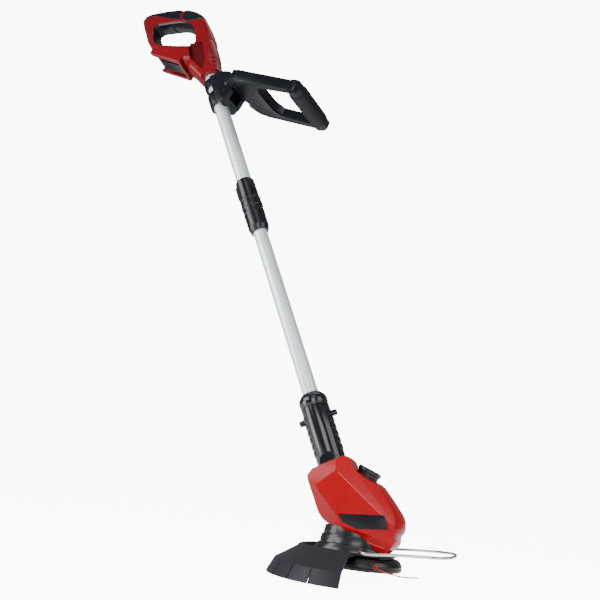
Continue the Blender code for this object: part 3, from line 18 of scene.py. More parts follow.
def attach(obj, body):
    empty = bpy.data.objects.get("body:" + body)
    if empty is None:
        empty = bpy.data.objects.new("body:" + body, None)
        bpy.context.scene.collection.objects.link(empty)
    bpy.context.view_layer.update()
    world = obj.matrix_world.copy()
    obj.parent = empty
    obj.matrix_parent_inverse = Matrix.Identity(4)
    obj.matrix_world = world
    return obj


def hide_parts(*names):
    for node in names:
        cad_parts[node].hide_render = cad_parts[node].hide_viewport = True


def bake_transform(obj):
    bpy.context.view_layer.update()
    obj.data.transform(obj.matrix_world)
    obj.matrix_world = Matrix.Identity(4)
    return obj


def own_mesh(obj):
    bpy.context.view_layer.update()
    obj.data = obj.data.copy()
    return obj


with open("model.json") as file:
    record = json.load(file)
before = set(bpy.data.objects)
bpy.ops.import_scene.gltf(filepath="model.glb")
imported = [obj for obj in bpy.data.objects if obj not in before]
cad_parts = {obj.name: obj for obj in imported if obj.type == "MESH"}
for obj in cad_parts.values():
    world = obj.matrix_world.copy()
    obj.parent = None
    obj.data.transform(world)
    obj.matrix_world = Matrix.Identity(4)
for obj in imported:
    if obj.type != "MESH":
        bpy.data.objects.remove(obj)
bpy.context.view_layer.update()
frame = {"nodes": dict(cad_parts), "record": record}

MM = 0.001
PI = math.pi
SIDES = ((-1, "right"), (1, "left"))


# Local frames

LEAN = math.radians(23)
UP = np.array([-math.sin(LEAN), 0, math.cos(LEAN)])
AHEAD = np.array([math.cos(LEAN), 0, math.sin(LEAN)])
LEFT = np.array([0.0, 1.0, 0.0])
MOUTH_AT = AHEAD * 51.5 - UP * 189.6
PIVOT_BELOW_MOUTH = 754.3


def frame_of(origin, x_axis, y_axis, z_axis):
    """A 4 by 4 matrix from local millimetres to metres of the part's frame."""
    matrix = np.eye(4)
    matrix[:3, 0], matrix[:3, 1], matrix[:3, 2], matrix[:3, 3] = x_axis, y_axis, z_axis, origin
    matrix[:3] *= MM
    return matrix


def turned_frame(base, origin, about, degrees):
    """A frame inside another one: moved to an origin, then turned about one of its own axes."""
    step = np.array(Matrix.Translation(Vector(origin)) @ Matrix.Rotation(math.radians(degrees), 4, about))
    return base @ step


WORLD = frame_of((0, 0, 0), (1, 0, 0), LEFT, (0, 0, 1))
SHAFT = frame_of(MOUTH_AT, AHEAD, LEFT, UP)
PIVOT_AT = MOUTH_AT - UP * PIVOT_BELOW_MOUTH
NECK = frame_of(PIVOT_AT, AHEAD, LEFT, UP)
HEAD = frame_of(PIVOT_AT + np.array([53.4, 0, -145.7]), (1, 0, 0), LEFT, (0, 0, 1))
FOOT = turned_frame(WORLD, (28, 0, -105.5), "Y", 24)
CLAMP = turned_frame(SHAFT, (0, 0, 0), "Z", -10)
LOOP = turned_frame(CLAMP, (33, 0, -52), "Y", 46)
LOCK_OFF = turned_frame(WORLD, (61, 0, 8), "Y", 22)
TILT_BUTTON = turned_frame(HEAD, (-3.4, 0, 127.5), "Y", 23.5)

UPPER_TUBE_R, LOWER_TUBE_R, TUBE_WALL = 13.5, 12.0, 1.2
HEAD_TILT = math.radians(20)
# The halves of the handle, the neck and the pod end this far from the middle plane
HALF_GAP = 0.15


def placed(points, base):
    """Local points in millimetres as points of the part's frame in metres."""
    points = np.asarray(points, float)
    return points @ base[:3, :3].T + base[:3, 3]


# Surface tools

def linked(name, data):
    """A new object for a mesh, a light or a camera, linked to the scene."""
    obj = bpy.data.objects.new(name, data)
    bpy.context.scene.collection.objects.link(obj)
    return obj


def shaded(obj, crease):
    """Smooth shading, with edges sharper than an angle in degrees left sharp."""
    obj.data.shade_smooth()
    obj.data.set_sharp_from_angle(angle=math.radians(crease))
    return obj


@contextmanager
def mesh_of(obj):
    """The object's mesh open for editing, and written back afterwards."""
    bm = bmesh.new()
    bm.from_mesh(obj.data)
    yield bm
    bm.to_mesh(obj.data)
    bm.free()


def tidy_mesh(obj, crease, merge=2e-6):
    """Merge doubles, turn faces outward and shade smooth up to an angle in degrees."""
    with mesh_of(obj) as bm:
        bmesh.ops.remove_doubles(bm, verts=bm.verts, dist=merge)
        bmesh.ops.recalc_face_normals(bm, faces=bm.faces)
    return shaded(obj, crease)


def surface(name, grid, base, closed=False, caps=True, crease=35.0):
    """Skin a grid of (row, column) points: columns run round and join up, rows may join up too."""
    grid = np.asarray(grid, float)
    rows, columns = grid.shape[:2]
    index = np.arange(rows * columns).reshape(rows, columns)
    here, below = (index, np.roll(index, -1, 0)) if closed else (index[:-1], index[1:])
    quads = np.stack([here, np.roll(here, -1, 1), np.roll(below, -1, 1), below], -1).reshape(-1, 4)
    faces = quads.tolist()
    if caps and not closed:
        faces += [index[0][::-1].tolist(), index[-1].tolist()]
    mesh = bpy.data.meshes.new(name)
    mesh.from_pydata(placed(grid.reshape(-1, 3), base).tolist(), [], faces)
    return tidy_mesh(linked(name, mesh), crease)


def rounded(points, radius, steps=4, closed=True):
    """Round a polyline's corners: each corner P becomes the curve (1-t)^2 A + 2t(1-t) P + t^2 B,
    where A and B lie on its two sides, a radius away or 45 percent of a short side."""
    points = np.asarray(points, float)
    radius = np.broadcast_to(radius, len(points)).astype(float)
    before, after = np.roll(points, 1, 0), np.roll(points, -1, 0)
    back, front = before - points, after - points
    back_length = np.linalg.norm(back, axis=1)[:, None] + 1e-12
    front_length = np.linalg.norm(front, axis=1)[:, None] + 1e-12
    reach = np.minimum(radius[:, None], 0.45 * np.minimum(back_length, front_length))
    a = points + back / back_length * reach
    b = points + front / front_length * reach
    t = np.linspace(0, 1, steps)[None, :, None]
    curve = (1 - t) ** 2 * a[:, None] + 2 * t * (1 - t) * points[:, None] + t ** 2 * b[:, None]
    if not closed:
        curve[0] = points[0]
        curve[-1] = points[-1]
    return curve.reshape(-1, points.shape[1])


def turned(profile, angle):
    """A grid from a (radius, height) profile at each angle: x = r cos a, y = r sin a, z = h."""
    return np.stack([profile[:, :1] * np.cos(angle), profile[:, :1] * np.sin(angle),
                     np.repeat(profile[:, 1:2], len(angle), 1)], -1)


def lathe(name, profile, base, radius=0.6, sides=96, ring=False):
    """Turn a (radius, height) profile about local z, with its corners rounded. A ring's profile is a
    closed loop, any other starts and ends on the axis."""
    profile = rounded(profile, radius, closed=ring) if radius else np.asarray(profile, float)
    grid = turned(profile, np.linspace(0, 2 * PI, sides, endpoint=False))
    return surface(name, grid, base, closed=ring, caps=False)


def inset(outline, amounts):
    """Copies of a closed outline moved inward along its corner bisectors, one for each amount."""
    outline = np.asarray(outline, float)
    first = outline - np.roll(outline, 1, 0)
    second = np.roll(outline, -1, 0) - outline
    first /= np.linalg.norm(first, axis=1)[:, None] + 1e-12
    second /= np.linalg.norm(second, axis=1)[:, None] + 1e-12
    area = np.sum(outline[:, 0] * np.roll(outline[:, 1], -1) - outline[:, 1] * np.roll(outline[:, 0], -1))
    normal = np.stack([-first[:, 1] - second[:, 1], first[:, 0] + second[:, 0]], 1) * np.sign(area)
    normal /= np.linalg.norm(normal, axis=1)[:, None] + 1e-12
    square = np.stack([-first[:, 1], first[:, 0]], 1) * np.sign(area)
    spread = np.maximum(0.5, np.sum(normal * square, 1))[:, None]
    return outline[None] + np.asarray(amounts, float)[:, None, None] * (normal / spread)[None]


def slab(name, outline, low, high, base, corner=1.0, edge=0.6, plane="XZ"):
    """A flat outline given a thickness, with round corners and a quarter-round edge:
    at depth e(1 - cos a) from a face the outline is drawn in by e(1 - sin a)."""
    low, high = sorted((low, high))
    outline = rounded(outline, corner) if corner else np.asarray(outline, float)
    a = np.linspace(0, PI / 2, 4) if edge else np.array([PI / 2])
    rims = inset(outline, np.concatenate([edge * (1 - np.sin(a)), edge * (1 - np.sin(a[::-1]))]))
    depth = np.concatenate([low + edge * (1 - np.cos(a)), high - edge * (1 - np.cos(a[::-1]))])
    level = np.repeat(depth[:, None], rims.shape[1], 1)
    first, second = rims[..., 0], rims[..., 1]
    axes = {"XZ": [first, level, second], "XY": [first, second, level], "YZ": [level, first, second]}
    return surface(name, np.stack(axes[plane], -1), base)


def block(name, low, high, base, edge=0.0):
    """A box between two local corners with an optional rounded edge."""
    (x0, y0, z0), (x1, y1, z1) = low, high
    return slab(name, [(x0, z0), (x1, z0), (x1, z1), (x0, z1)], y0, y1, base, edge, edge)


def drum(name, radius, low, high, base, origin=(0, 0, 0), axis="Z", sides=48, edge=0.0):
    """A cylinder along a local axis through an origin, with a small rounded edge."""
    about, degrees = {"Z": ("Z", 0), "Y": ("X", -90), "X": ("Y", 90)}[axis]
    profile = [(0, high), (radius, high), (radius, low), (0, low)]
    return lathe(name, profile, turned_frame(base, origin, about, degrees), edge, sides)


def arc(radius, angles, centre=(0, 0)):
    """Points on a circle, one for each angle."""
    return np.array(centre) + radius * np.stack([np.cos(angles), np.sin(angles)], 1)


def superellipse(across, along, count, power=2.6):
    """Points (u, v) with |u/along|^p + |v/across|^p = 1, evenly spaced in angle."""
    angle = np.linspace(0, 2 * PI, count, endpoint=False)
    c, s = np.cos(angle), np.sin(angle)
    return np.stack([along * np.sign(c) * np.abs(c) ** (2 / power),
                     across * np.sign(s) * np.abs(s) ** (2 / power)], 1)


def stacked(levels, count, power, grow):
    """Superellipse sections square to local z, grown outward. Each row of levels is a section's
    height, centre x, half length and half width."""
    shape = superellipse(1, 1, count, power)
    x = levels[:, 1:2] + shape[None, :, 0] * (levels[:, 2:3] + grow)
    y = shape[None, :, 1] * (levels[:, 3:4] + grow)
    return np.stack([x, y, np.repeat(levels[:, :1], count, 1)], -1)


def catmull(controls, steps, closed=False):
    """Points on a Catmull-Rom curve: 0.5 (2b + (c-a) t + (2a-5b+4c-d) t^2 + (3b-a-3c+d) t^3)."""
    controls = np.asarray(controls, float)
    if closed:
        a, b, c, d = (np.roll(controls, shift, 0) for shift in (1, 0, -1, -2))
    else:
        padded = np.vstack([2 * controls[:1] - controls[1:2], controls,
                            2 * controls[-1:] - controls[-2:-1]])
        a, b, c, d = padded[:-3], padded[1:-2], padded[2:-1], padded[3:]
    t = (np.arange(steps) / steps)[None, :, None]
    a, b, c, d = (part[:, None] for part in (a, b, c, d))
    curve = 0.5 * (2 * b + (c - a) * t + (2 * a - 5 * b + 4 * c - d) * t ** 2
                   + (3 * b - a - 3 * c + d) * t ** 3)
    curve = curve.reshape(-1, controls.shape[1])
    return curve if closed else np.vstack([curve, controls[-1:]])


def sweep(name, path, radius, base, sides=16, normal=(0, 0, 1)):
    """Carry a circle along a path: P(s) + r cos a N + r sin a B, where B is tangent times normal."""
    path = np.asarray(path, float)
    tangent = np.gradient(path, axis=0)
    tangent /= np.linalg.norm(tangent, axis=1)[:, None]
    side = np.cross(tangent, np.asarray(normal, float))
    side /= np.linalg.norm(side, axis=1)[:, None]
    rise = np.cross(side, tangent)
    angle = np.linspace(0, 2 * PI, sides, endpoint=False)
    grid = path[:, None] + radius * (np.cos(angle)[None, :, None] * side[:, None]
                                     + np.sin(angle)[None, :, None] * rise[:, None])
    return surface(name, grid, base)


def applied(obj):
    """The object with its modifiers worked into its mesh."""
    bpy.context.view_layer.update()
    evaluated = obj.evaluated_get(bpy.context.evaluated_depsgraph_get())
    mesh = bpy.data.meshes.new_from_object(evaluated)
    obj.modifiers.clear()
    obj.data = mesh
    return obj


def combined(obj, others, operation, crease=30.0):
    """Cut other solids from an object or join them to it, and remove them."""
    for other in others:
        modifier = obj.modifiers.new("shape", "BOOLEAN")
        modifier.operation = operation
        modifier.solver = "MANIFOLD"
        modifier.object = other
        applied(obj)
        bpy.data.objects.remove(other, do_unlink=True)
    return shaded(obj, crease)


def carve(obj, *tools, crease=30.0):
    """Cut tools from an object."""
    return combined(obj, tools, "DIFFERENCE", crease)


def weld(obj, *others):
    """Join solids to an object."""
    return combined(obj, others, "UNION")


def softened(obj, width, segments=2, angle=40.0):
    """Round an object's sharp edges by a width in millimetres."""
    bevel = obj.modifiers.new("soft_edge", "BEVEL")
    bevel.width = width * MM
    bevel.segments = segments
    bevel.limit_method = "ANGLE"
    bevel.angle_limit = math.radians(angle)
    bevel.use_clamp_overlap = True
    return shaded(applied(obj), angle)


def mirrored(obj, name, crease):
    """The same piece on the other side of the middle plane."""
    twin = linked(name, obj.data.copy())
    twin.data.transform(Matrix.Diagonal((1, -1, 1, 1)))
    twin.data.flip_normals()
    twin.data.set_sharp_from_angle(angle=math.radians(crease))
    return twin


def copy_of_node(node, name, crease, bevel=0.0, segments=2, angle=40.0):
    """A merged copy of a CAD node's mesh, smooth on its round sides and soft on its edges."""
    mesh = frame["nodes"][node].data.copy()
    mesh.materials.clear()
    obj = tidy_mesh(linked(name, mesh), crease, 5e-6)
    with mesh_of(obj) as bm:
        bmesh.ops.dissolve_limit(bm, angle_limit=math.radians(1.0), verts=bm.verts, edges=bm.edges)
    if bevel:
        softened(obj, bevel, segments, angle)
    return shaded(obj, crease)


BODY_OF = {node: body for body, members in frame["record"]["behaviour"]["bodies"].items()
           for node in members}


def dressed(obj, look, *nodes, body=None, slot=None, bends=False):
    """Give a finished piece its material and, from the CAD nodes it stands for, its body.
    A piece without a node is told its body, and a piece that bends between two bodies rides on neither. The
    slot is not used."""
    obj.data.materials.clear()
    obj.data.materials.append(look)
    if not bends:
        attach(obj, body or BODY_OF[nodes[0]])
    if nodes:
        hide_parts(*nodes)
    return obj


# Shared effects

def wired(tree, node, inputs):
    """Link each of a node's inputs, by name or number, to a socket or give it a value."""
    for label, value in inputs.items():
        if isinstance(value, bpy.types.NodeSocket):
            tree.links.new(value, node.inputs[label])
        else:
            node.inputs[label].default_value = value
    return node


def new_node(tree, kind, inputs, **settings):
    """A new shader node with its settings and its inputs."""
    node = tree.nodes.new(kind)
    for label, value in settings.items():
        setattr(node, label, value)
    return wired(tree, node, inputs)


def math_node(tree, operation, first, second):
    """The output of a Math node whose two inputs are sockets or numbers."""
    return new_node(tree, "ShaderNodeMath", {0: first, 1: second}, operation=operation).outputs[0]


def noise_node(tree, vector, scale, detail, roughness=0.5):
    """The output of a Noise Texture read at a vector; scale is a socket or a number."""
    inputs = {"Vector": vector, "Scale": scale, "Detail": detail, "Roughness": roughness}
    return new_node(tree, "ShaderNodeTexNoise", inputs).outputs["Fac"]


def effect_group(name, scales, outputs):
    """An empty shader node group with a vector, named scales with their defaults and named masks."""
    group = bpy.data.node_groups.new(name, "ShaderNodeTree")
    group.interface.new_socket("Vector", in_out="INPUT", socket_type="NodeSocketVector")
    for label, value in scales.items():
        socket = group.interface.new_socket(label, in_out="INPUT", socket_type="NodeSocketFloat")
        socket.default_value = value
    for label in outputs:
        group.interface.new_socket(label, in_out="OUTPUT", socket_type="NodeSocketFloat")
    return group, group.nodes.new("NodeGroupInput").outputs, group.nodes.new("NodeGroupOutput")


def moulded_surface_group():
    """Spark-eroded mould texture: fine grain for the height, slow drift for the tone and
    rubbed patches for the gloss."""
    group, source, target = effect_group(
        "moulded_surface", {"Grain Scale": 2200.0, "Drift Scale": 18.0, "Rub Scale": 60.0},
        ("Grain", "Drift", "Rub"))
    vector, grain = source["Vector"], source["Grain Scale"]
    fine = noise_node(group, vector, grain, 3.0, 0.6)
    coarse = noise_node(group, vector, math_node(group, "MULTIPLY", grain, 0.31), 1.0)
    height = math_node(group, "ADD", math_node(group, "MULTIPLY", fine, 0.65),
                       math_node(group, "MULTIPLY", coarse, 0.35))
    drift = noise_node(group, vector, source["Drift Scale"], 2.0)
    rub = noise_node(group, vector, source["Rub Scale"], 4.0, 0.65)
    patches = new_node(group, "ShaderNodeMapRange", {"Value": rub, "From Min": 0.38, "From Max": 0.68},
                       interpolation_type="SMOOTHSTEP")
    wired(group, target, {"Grain": height, "Drift": drift, "Rub": patches.outputs["Result"]})
    return group


def drawn_metal_group():
    """Lines left by drawing or grinding along local z: noise stretched a hundredfold that way."""
    group, source, target = effect_group("drawn_metal", {"Line Scale": 900.0}, ("Lines", "Haze"))
    stretch = new_node(group, "ShaderNodeVectorMath", {0: source["Vector"], 1: (1.0, 1.0, 0.012)},
                       operation="MULTIPLY")
    wired(group, target, {"Lines": noise_node(group, stretch.outputs[0], source["Line Scale"], 3.0, 0.6),
                          "Haze": noise_node(group, source["Vector"], 22.0, 3.0)})
    return group


MOULDED = moulded_surface_group()
DRAWN = drawn_metal_group()


def finish(name, colour, roughness, rub, spread, group, scales, masks, bump, metallic=0.0, coat=0.0,
           specular=0.5, lean=0.0):
    """A Principled material. Its masks are the group's outputs for height, tone and gloss: the height
    goes through a Bump node of bump millimetres, the tone mixes two colours that lie spread apart from
    the given one, and the gloss moves the roughness by rub."""
    height, tone, gloss = masks
    material = bpy.data.materials.new(name)
    material.use_nodes = True
    tree = material.node_tree
    place = tree.nodes.new("ShaderNodeTexCoord").outputs["Object"]
    mapping = new_node(tree, "ShaderNodeMapping", {"Vector": place, "Rotation": (0, lean, 0)})
    effect = new_node(tree, "ShaderNodeGroup", {}, node_tree=group)
    effect = wired(tree, effect, {"Vector": mapping.outputs["Vector"], **scales}).outputs
    darker, lighter = ((*[part * (1 + step) for part in colour], 1) for step in (-spread, spread))
    mix = new_node(tree, "ShaderNodeMix", {"A": darker, "B": lighter, "Factor": effect[tone]},
                   data_type="RGBA")
    shine = new_node(tree, "ShaderNodeMapRange", {
        "Value": effect[gloss], "To Min": roughness - rub, "To Max": roughness + rub})
    relief = new_node(tree, "ShaderNodeBump", {
        "Height": effect[height], "Strength": 0.5, "Distance": bump * MM})
    wired(tree, tree.nodes["Principled BSDF"], {
        "Base Color": mix.outputs["Result"], "Roughness": shine.outputs["Result"],
        "Normal": relief.outputs["Normal"], "Metallic": metallic, "Coat Weight": coat,
        "Coat Roughness": 0.06, "Specular IOR Level": specular})
    return material


def plastic(name, colour, roughness, rub, spread, grain, bump, drift=18.0, patch=60.0, **more):
    """A moulded finish with the scales of its grain, its drift in tone and its rubbed patches."""
    scales = {"Grain Scale": grain, "Drift Scale": drift, "Rub Scale": patch}
    masks = ("Grain", "Drift", "Rub")
    return finish(name, colour, roughness, rub, spread, MOULDED, scales, masks, bump, **more)


def metal(name, colour, roughness, rub, spread, lines, bump, metallic=1.0, gloss="Haze", **more):
    """A drawn finish with the scale of its lines."""
    masks = ("Lines", "Haze", gloss)
    return finish(name, colour, roughness, rub, spread, DRAWN, {"Line Scale": lines}, masks, bump,
                  metallic=metallic, **more)


# Each finish: its name, colour, roughness, rub, spread, scale of grain or lines, and bump in millimetres
GLOSSY_RED = plastic("glossy_red_housing", (0.43, 0.0012, 0.0060), 0.25, 0.015, 0.05, 900, 0.002, 12, 26,
                     coat=0.03, specular=0.22)
# A lighter red that paints the highlight along the pod's creases
PAINTED_HIGHLIGHT_EDGE = plastic("painted_highlight_red_edge", (0.75, 0.09, 0.075), 0.22, 0.01, 0.04, 900, 0.002, coat=0.1)
# The pod's red plastic painted darker for the handle: painted shade
SHADED_HANDLE_RED = plastic("glossy_red_handle_painted_shade", (0.19, 0.0007, 0.0050), 0.27, 0.015, 0.05, 900, 0.003, 12, 26,
                     coat=0.05, specular=0.34)
# A grained red, painted darker still as painted shade in the handle's side recess
GRAINED_SHADED_RED = plastic("grained_red_panel_painted_shade", (0.085, 0.0005, 0.003), 0.42, 0.03, 0.08, 1400, 0.03, 14,
                      specular=0.25)
SATIN_BLACK = plastic("satin_black_nylon", (0.006, 0.0065, 0.010), 0.32, 0.04, 0.2, 1800, 0.012,
                      specular=0.4)
SLEEVE_BLACK = plastic("moulded_black_sleeve", (0.005, 0.0055, 0.009), 0.24, 0.03, 0.2, 1800, 0.008,
                       specular=0.4)
HOUSING_BLACK = plastic("moulded_black_housing", (0.007, 0.0075, 0.011), 0.27, 0.03, 0.15, 1500, 0.008,
                        coat=0.1, specular=0.45)
GLOSSY_BLACK = plastic("glossy_black_neck", (0.005, 0.0055, 0.010), 0.15, 0.015, 0.15, 700, 0.002,
                       coat=0.15)
GRAINED_BLACK = plastic("grained_black_handle", (0.004, 0.0045, 0.009), 0.30, 0.04, 0.2, 1500, 0.012,
                        specular=0.25)
GUARD_GREY = plastic("grained_dark_guard", (0.022, 0.0225, 0.030), 0.42, 0.04, 0.12, 1300, 0.02, 9,
                     specular=0.18)
SOFT_GRIP = plastic("soft_grip_rubber", (0.006, 0.0065, 0.011), 0.48, 0.05, 0.18, 1100, 0.03, specular=0.2)
SPOOL_BLACK = plastic("spool_black_nylon", (0.006, 0.006, 0.009), 0.34, 0.08, 0.2, 1600, 0.03, specular=0.4)
LINE_RED = plastic("trimmer_line_red", (0.55, 0.012, 0.014), 0.35, 0.05, 0.1, 2500, 0.03, coat=0.2)
NATURAL_NYLON = plastic("natural_nylon", (0.70, 0.69, 0.64), 0.45, 0.05, 0.05, 1800, 0.05)
ANODISED_TUBE = metal("anodised_tube", (0.80, 0.90, 0.94), 0.38, 0.06, 0.04, 900, 0.004, 0.40, "Lines",
                      lean=LEAN)
BRIGHT_WIRE = metal("bright_wire_steel", (0.62, 0.63, 0.64), 0.22, 0.06, 0.06, 500, 0.01)
ZINC_SCREW = metal("zinc_screw_steel", (0.60, 0.60, 0.58), 0.30, 0.08, 0.1, 1500, 0.02)
DARK_SCREW = metal("blackened_screw_steel", (0.035, 0.035, 0.038), 0.34, 0.08, 0.1, 1500, 0.02, 0.8)
SPRING_STEEL = metal("spring_wire_steel", (0.42, 0.42, 0.43), 0.34, 0.06, 0.08, 1200, 0.01)
MOTOR_CASE = metal("pressed_motor_case", (0.50, 0.50, 0.50), 0.38, 0.08, 0.08, 700, 0.03)


# Motor head: red shells

# Each corner of the middle outline: x, z, its radius, and how far its flank leans in before it meets the
# side panel, as a share of the way to the spine
POD_OUTLINE = np.array([
    (-30.5, 156, 5, .10), (-22, 151, 5, .12), (-17, 139, 5, .16), (2, 127.5, 5, .22), (21, 120.5, 5, .26),
    (35, 104, 5, .30), (46, 90, 5, .32), (53, 79, 5, .32), (53.5, 64, 5, .28), (47, 56.5, 5, .16),
    (47, 47, 5, .12), (33, 34, 5, .10), (8, 39.5, 5, .05), (-18, 51.5, 5, .03), (-41, 62, 5, .03),
    (-56, 68.5, 5, .03), (-64, 77.5, 4, .03), (-72, 97, 5, .03), (-78, 111, 5, .05), (-82.8, 124, 1.2, .06),
    (-76.5, 134, 1.2, .07)], float)
POD_SPINE = np.array([(-53.4, 134), (-8, 76)], float)
# The pod's half width before the facets trim it
POD_HALF_WIDTH = 40
POD_WALL = 2.4
# The two creases of each side, as points x, z, each drawn over with a bead in a lighter red that is a
# painted highlight
POD_CREASES = {"long": [(23.5, 83.8), (9, 95.2), (-12, 111.7), (-37.5, 131.7)],
               "low": [(6, 48.5), (18, 45.5), (31, 42.5)]}
# Each facet of the side: a point x, z and half width on it, and what the half width gains per mm of x and z
SIDE_PANEL = ((36, 74, 36.5), (0.050, -0.052))
LOW_FACET = ((-24, 66.4, 35.0), (0.150, 0.430))
POD_FACETS = [
    SIDE_PANEL,
    ((36, 74, 36.5), (-0.129, -0.280)),
    ((-43.6, 132.9, 29.3), (0.200, -0.235)),
    LOW_FACET,
    ((-61, 107.8, 31.4), (0.600, 0.450)),
    ((0, 80, 36.5), (0.0, 0.0)),
]


def pod_solid(name, wall=0.0):
    """Half of the pod on the right: rows start on the middle outline and lean toward the spine by
    pull = roundness (1 - cos a) while y = -W sin a, then each facet's plane trims the side."""
    corners = np.column_stack([inset(POD_OUTLINE[:, :2], [wall])[0], POD_OUTLINE[:, 3]])
    outline = rounded(corners, POD_OUTLINE[:, 2], 9)
    along = POD_SPINE[1] - POD_SPINE[0]
    station = np.clip((outline[:, :2] - POD_SPINE[0]) @ along / (along @ along), 0, 1)
    spine = POD_SPINE[0] + station[:, None] * along
    angle = np.linspace(0, PI / 2, 12)
    lean = outline[None, :, 2]
    pull = np.concatenate([lean * (1 - np.cos(angle))[:, None],
                           lean + (0.96 - lean) * np.array([[0.5], [1.0]])])
    depth = np.concatenate([-POD_HALF_WIDTH * np.sin(angle), [-POD_HALF_WIDTH, -POD_HALF_WIDTH]])
    flat = outline[None, :, :2] + (spine - outline[:, :2])[None] * pull[..., None]
    grid = np.stack([flat[..., 0], np.repeat(depth[:, None], len(outline), 1), flat[..., 1]], -1)
    obj = surface(name, grid, WORLD)
    with mesh_of(obj) as bm:
        for (x, z, width), (gain_x, gain_z) in POD_FACETS:
            point = Vector((x, -(width - wall), z)) * MM
            outward = Vector((-gain_x, -1, -gain_z)).normalized()
            cut = bmesh.ops.bisect_plane(bm, geom=bm.verts[:] + bm.edges[:] + bm.faces[:], plane_co=point,
                                         plane_no=outward, clear_outer=True, dist=1e-7)
            rim = [item for item in cut["geom_cut"] if isinstance(item, bmesh.types.BMEdge)]
            bmesh.ops.holes_fill(bm, edges=rim, sides=0)
        bmesh.ops.recalc_face_normals(bm, faces=bm.faces)
    obj.data.transform(Matrix(np.vstack([HEAD[:3], [0, 0, 0, 1]])) @ Matrix.Scale(1 / MM, 4))
    return obj


def facet_width(facet, x, z):
    """Half width of a facet of the pod's side."""
    (x0, z0, width), (gain_x, gain_z) = facet
    return width + gain_x * (x - x0) + gain_z * (z - z0)


def neck_swing(radius):
    """The outline that the neck sweeps, up to 60 mm above the pivot, when it tilts either way."""
    path = arc(radius, np.linspace(PI - HEAD_TILT, 2 * PI + HEAD_TILT, 24))
    lean = np.array([math.sin(HEAD_TILT), math.cos(HEAD_TILT)]) * 60.0
    return np.vstack([path, path[-1] + lean, path[0] + lean * (-1, 1)])


def housing_rings(grow=0.0):
    """Sections of the lower housing: each row is a height, centre x, half length and half width, and the
    two grooves are steps where the body narrows upward."""
    levels = np.array([
        (33.5, -16.5, 52, 42), (35, -16.5, 51.6, 41.7), (40.6, -16, 47.4, 39.2), (41.4, -16, 46.6, 38.8),
        (41.5, -16, 45, 37.2), (42.7, -15.6, 44.6, 36.8), (42.8, -15.5, 45.4, 37.8),
        (43.6, -15.4, 45.6, 37.6), (51.6, -15, 44, 35.4), (52.4, -15, 43.4, 34.9), (52.5, -15, 41.8, 33.4),
        (53.7, -14.6, 41.4, 33), (53.8, -14.5, 42.2, 33.6), (54.6, -14.4, 42.5, 33.5),
        (63.9, -13.2, 41.2, 31.2)])
    return stacked(levels, 96, 2.2, grow)


def pod_shells():
    """The two red shells: hollow, with room for the neck, the tilt button and the lower housing."""
    shell = pod_solid("pod_shell_skin_right")
    room = housing_rings(0.5)[[0, -1]]
    room[0, :, 2], room[1, :, 2] = 20, 64.6
    carve(shell, pod_solid("hollow", POD_WALL),
          slab("swing", neck_swing(22.7), -22.6, 22.6, NECK, 0, 0), surface("room", room, HEAD),
          drum("well", 15.6, -6, 30, TILT_BUTTON, sides=64),
          drum("well_mouth", 17.5, 5.0, 30, TILT_BUTTON, sides=64))
    ear = np.vstack([arc(8, np.linspace(0, PI, 13)), [(-8, -32), (8, -32)]])
    weld(shell, slab("ear", ear, -14, -8, NECK, 0.01, 0.3),
         block("bridge", (-7, -28, -31), (7, -9, -24), NECK))
    carve(shell, drum("pin_hole", 3.2, -20, 0, NECK, axis="Y"),
          block("seam", (-200, -HALF_GAP, -100), (200, 60, 300), HEAD))
    softened(shell, 0.8, 3, 11)
    seam = catmull([(-62, -29.4, 106), (-52, -30.8, 95), (-43, -31.9, 84), (-31, -33.0, 68)], 8)
    carve(shell, sweep("facet_seam", seam, 0.75, HEAD, 12, (0, 1, 0)), crease=11)
    left = mirrored(shell, "pod_shell_skin_left", 11)
    dressed(shell, GLOSSY_RED, "pod_shell_right")
    dressed(left, GLOSSY_RED, "pod_shell_left")
    # Beads in the lighter red along the creases: a painted highlight on each crease edge
    for side, word in SIDES:
        for part, line in POD_CREASES.items():
            facets = (SIDE_PANEL,) if part == "long" else (SIDE_PANEL, LOW_FACET)
            bead = [(x, side * (min(facet_width(facet, x, z) for facet in facets) - 0.15), z)
                    for x, z in line]
            bead = sweep(f"{part}_crease_{word}", catmull(bead, 8), 0.5, HEAD, 12, (0, 1, 0))
            dressed(bead, PAINTED_HIGHLIGHT_EDGE, f"pod_shell_{word}")


def name_plate():
    """The blank badge: a thin slab whose outer face follows the side panel, y = -(its half width)."""
    outline = [(-33, 78.4), (29.5, 82.6), (35, 66), (-6.5, 62.6), (-25.5, 69)]
    plate = slab("blank_name_plate", outline, -0.9, 0.3, HEAD, 1.6, 0.35)
    points = np.empty(len(plate.data.vertices) * 3)
    plate.data.vertices.foreach_get("co", points)
    points = points.reshape(-1, 3)
    local = (points - HEAD[:3, 3]) / MM
    points[:, 1] -= facet_width(SIDE_PANEL, local[:, 0], local[:, 2]) * MM
    plate.data.vertices.foreach_set("co", points.ravel())
    dressed(plate, GRAINED_BLACK, "name_plate")


def head_fittings():
    """The tilt button with its raised rim, and the stepped lower housing."""
    profile = [(0, 13.4), (12.5, 13.4), (13.2, 14.0), (15.6, 14.0), (16.9, 12.4), (16.9, 8.6), (16.2, 8.1),
               (15.3, 8.1), (15.3, -4), (13.3, -4), (13.3, 8), (0, 8)]
    button = lathe("tilt_button_cap", profile, TILT_BUTTON, 0.7)
    dressed(button, SATIN_BLACK, "tilt_button")
    housing = surface("lower_housing_skin", housing_rings(), HEAD, crease=28)
    inner = housing_rings(-2.6)
    inner[..., 2] = np.clip(inner[..., 2], 36.2, 61)
    carve(housing, surface("room", inner[[0, 2, 8, -1]], HEAD), drum("nose_hole", 6.8, 50, 70, HEAD),
          drum("spindle_hole", 9, 28, 43, HEAD),
          drum("wire_hole", 2.1, -60, 60, HEAD, (3, 0, 40), "Y", 24), crease=28)
    dressed(housing, HOUSING_BLACK, "lower_housing")


# Guard and cutting head

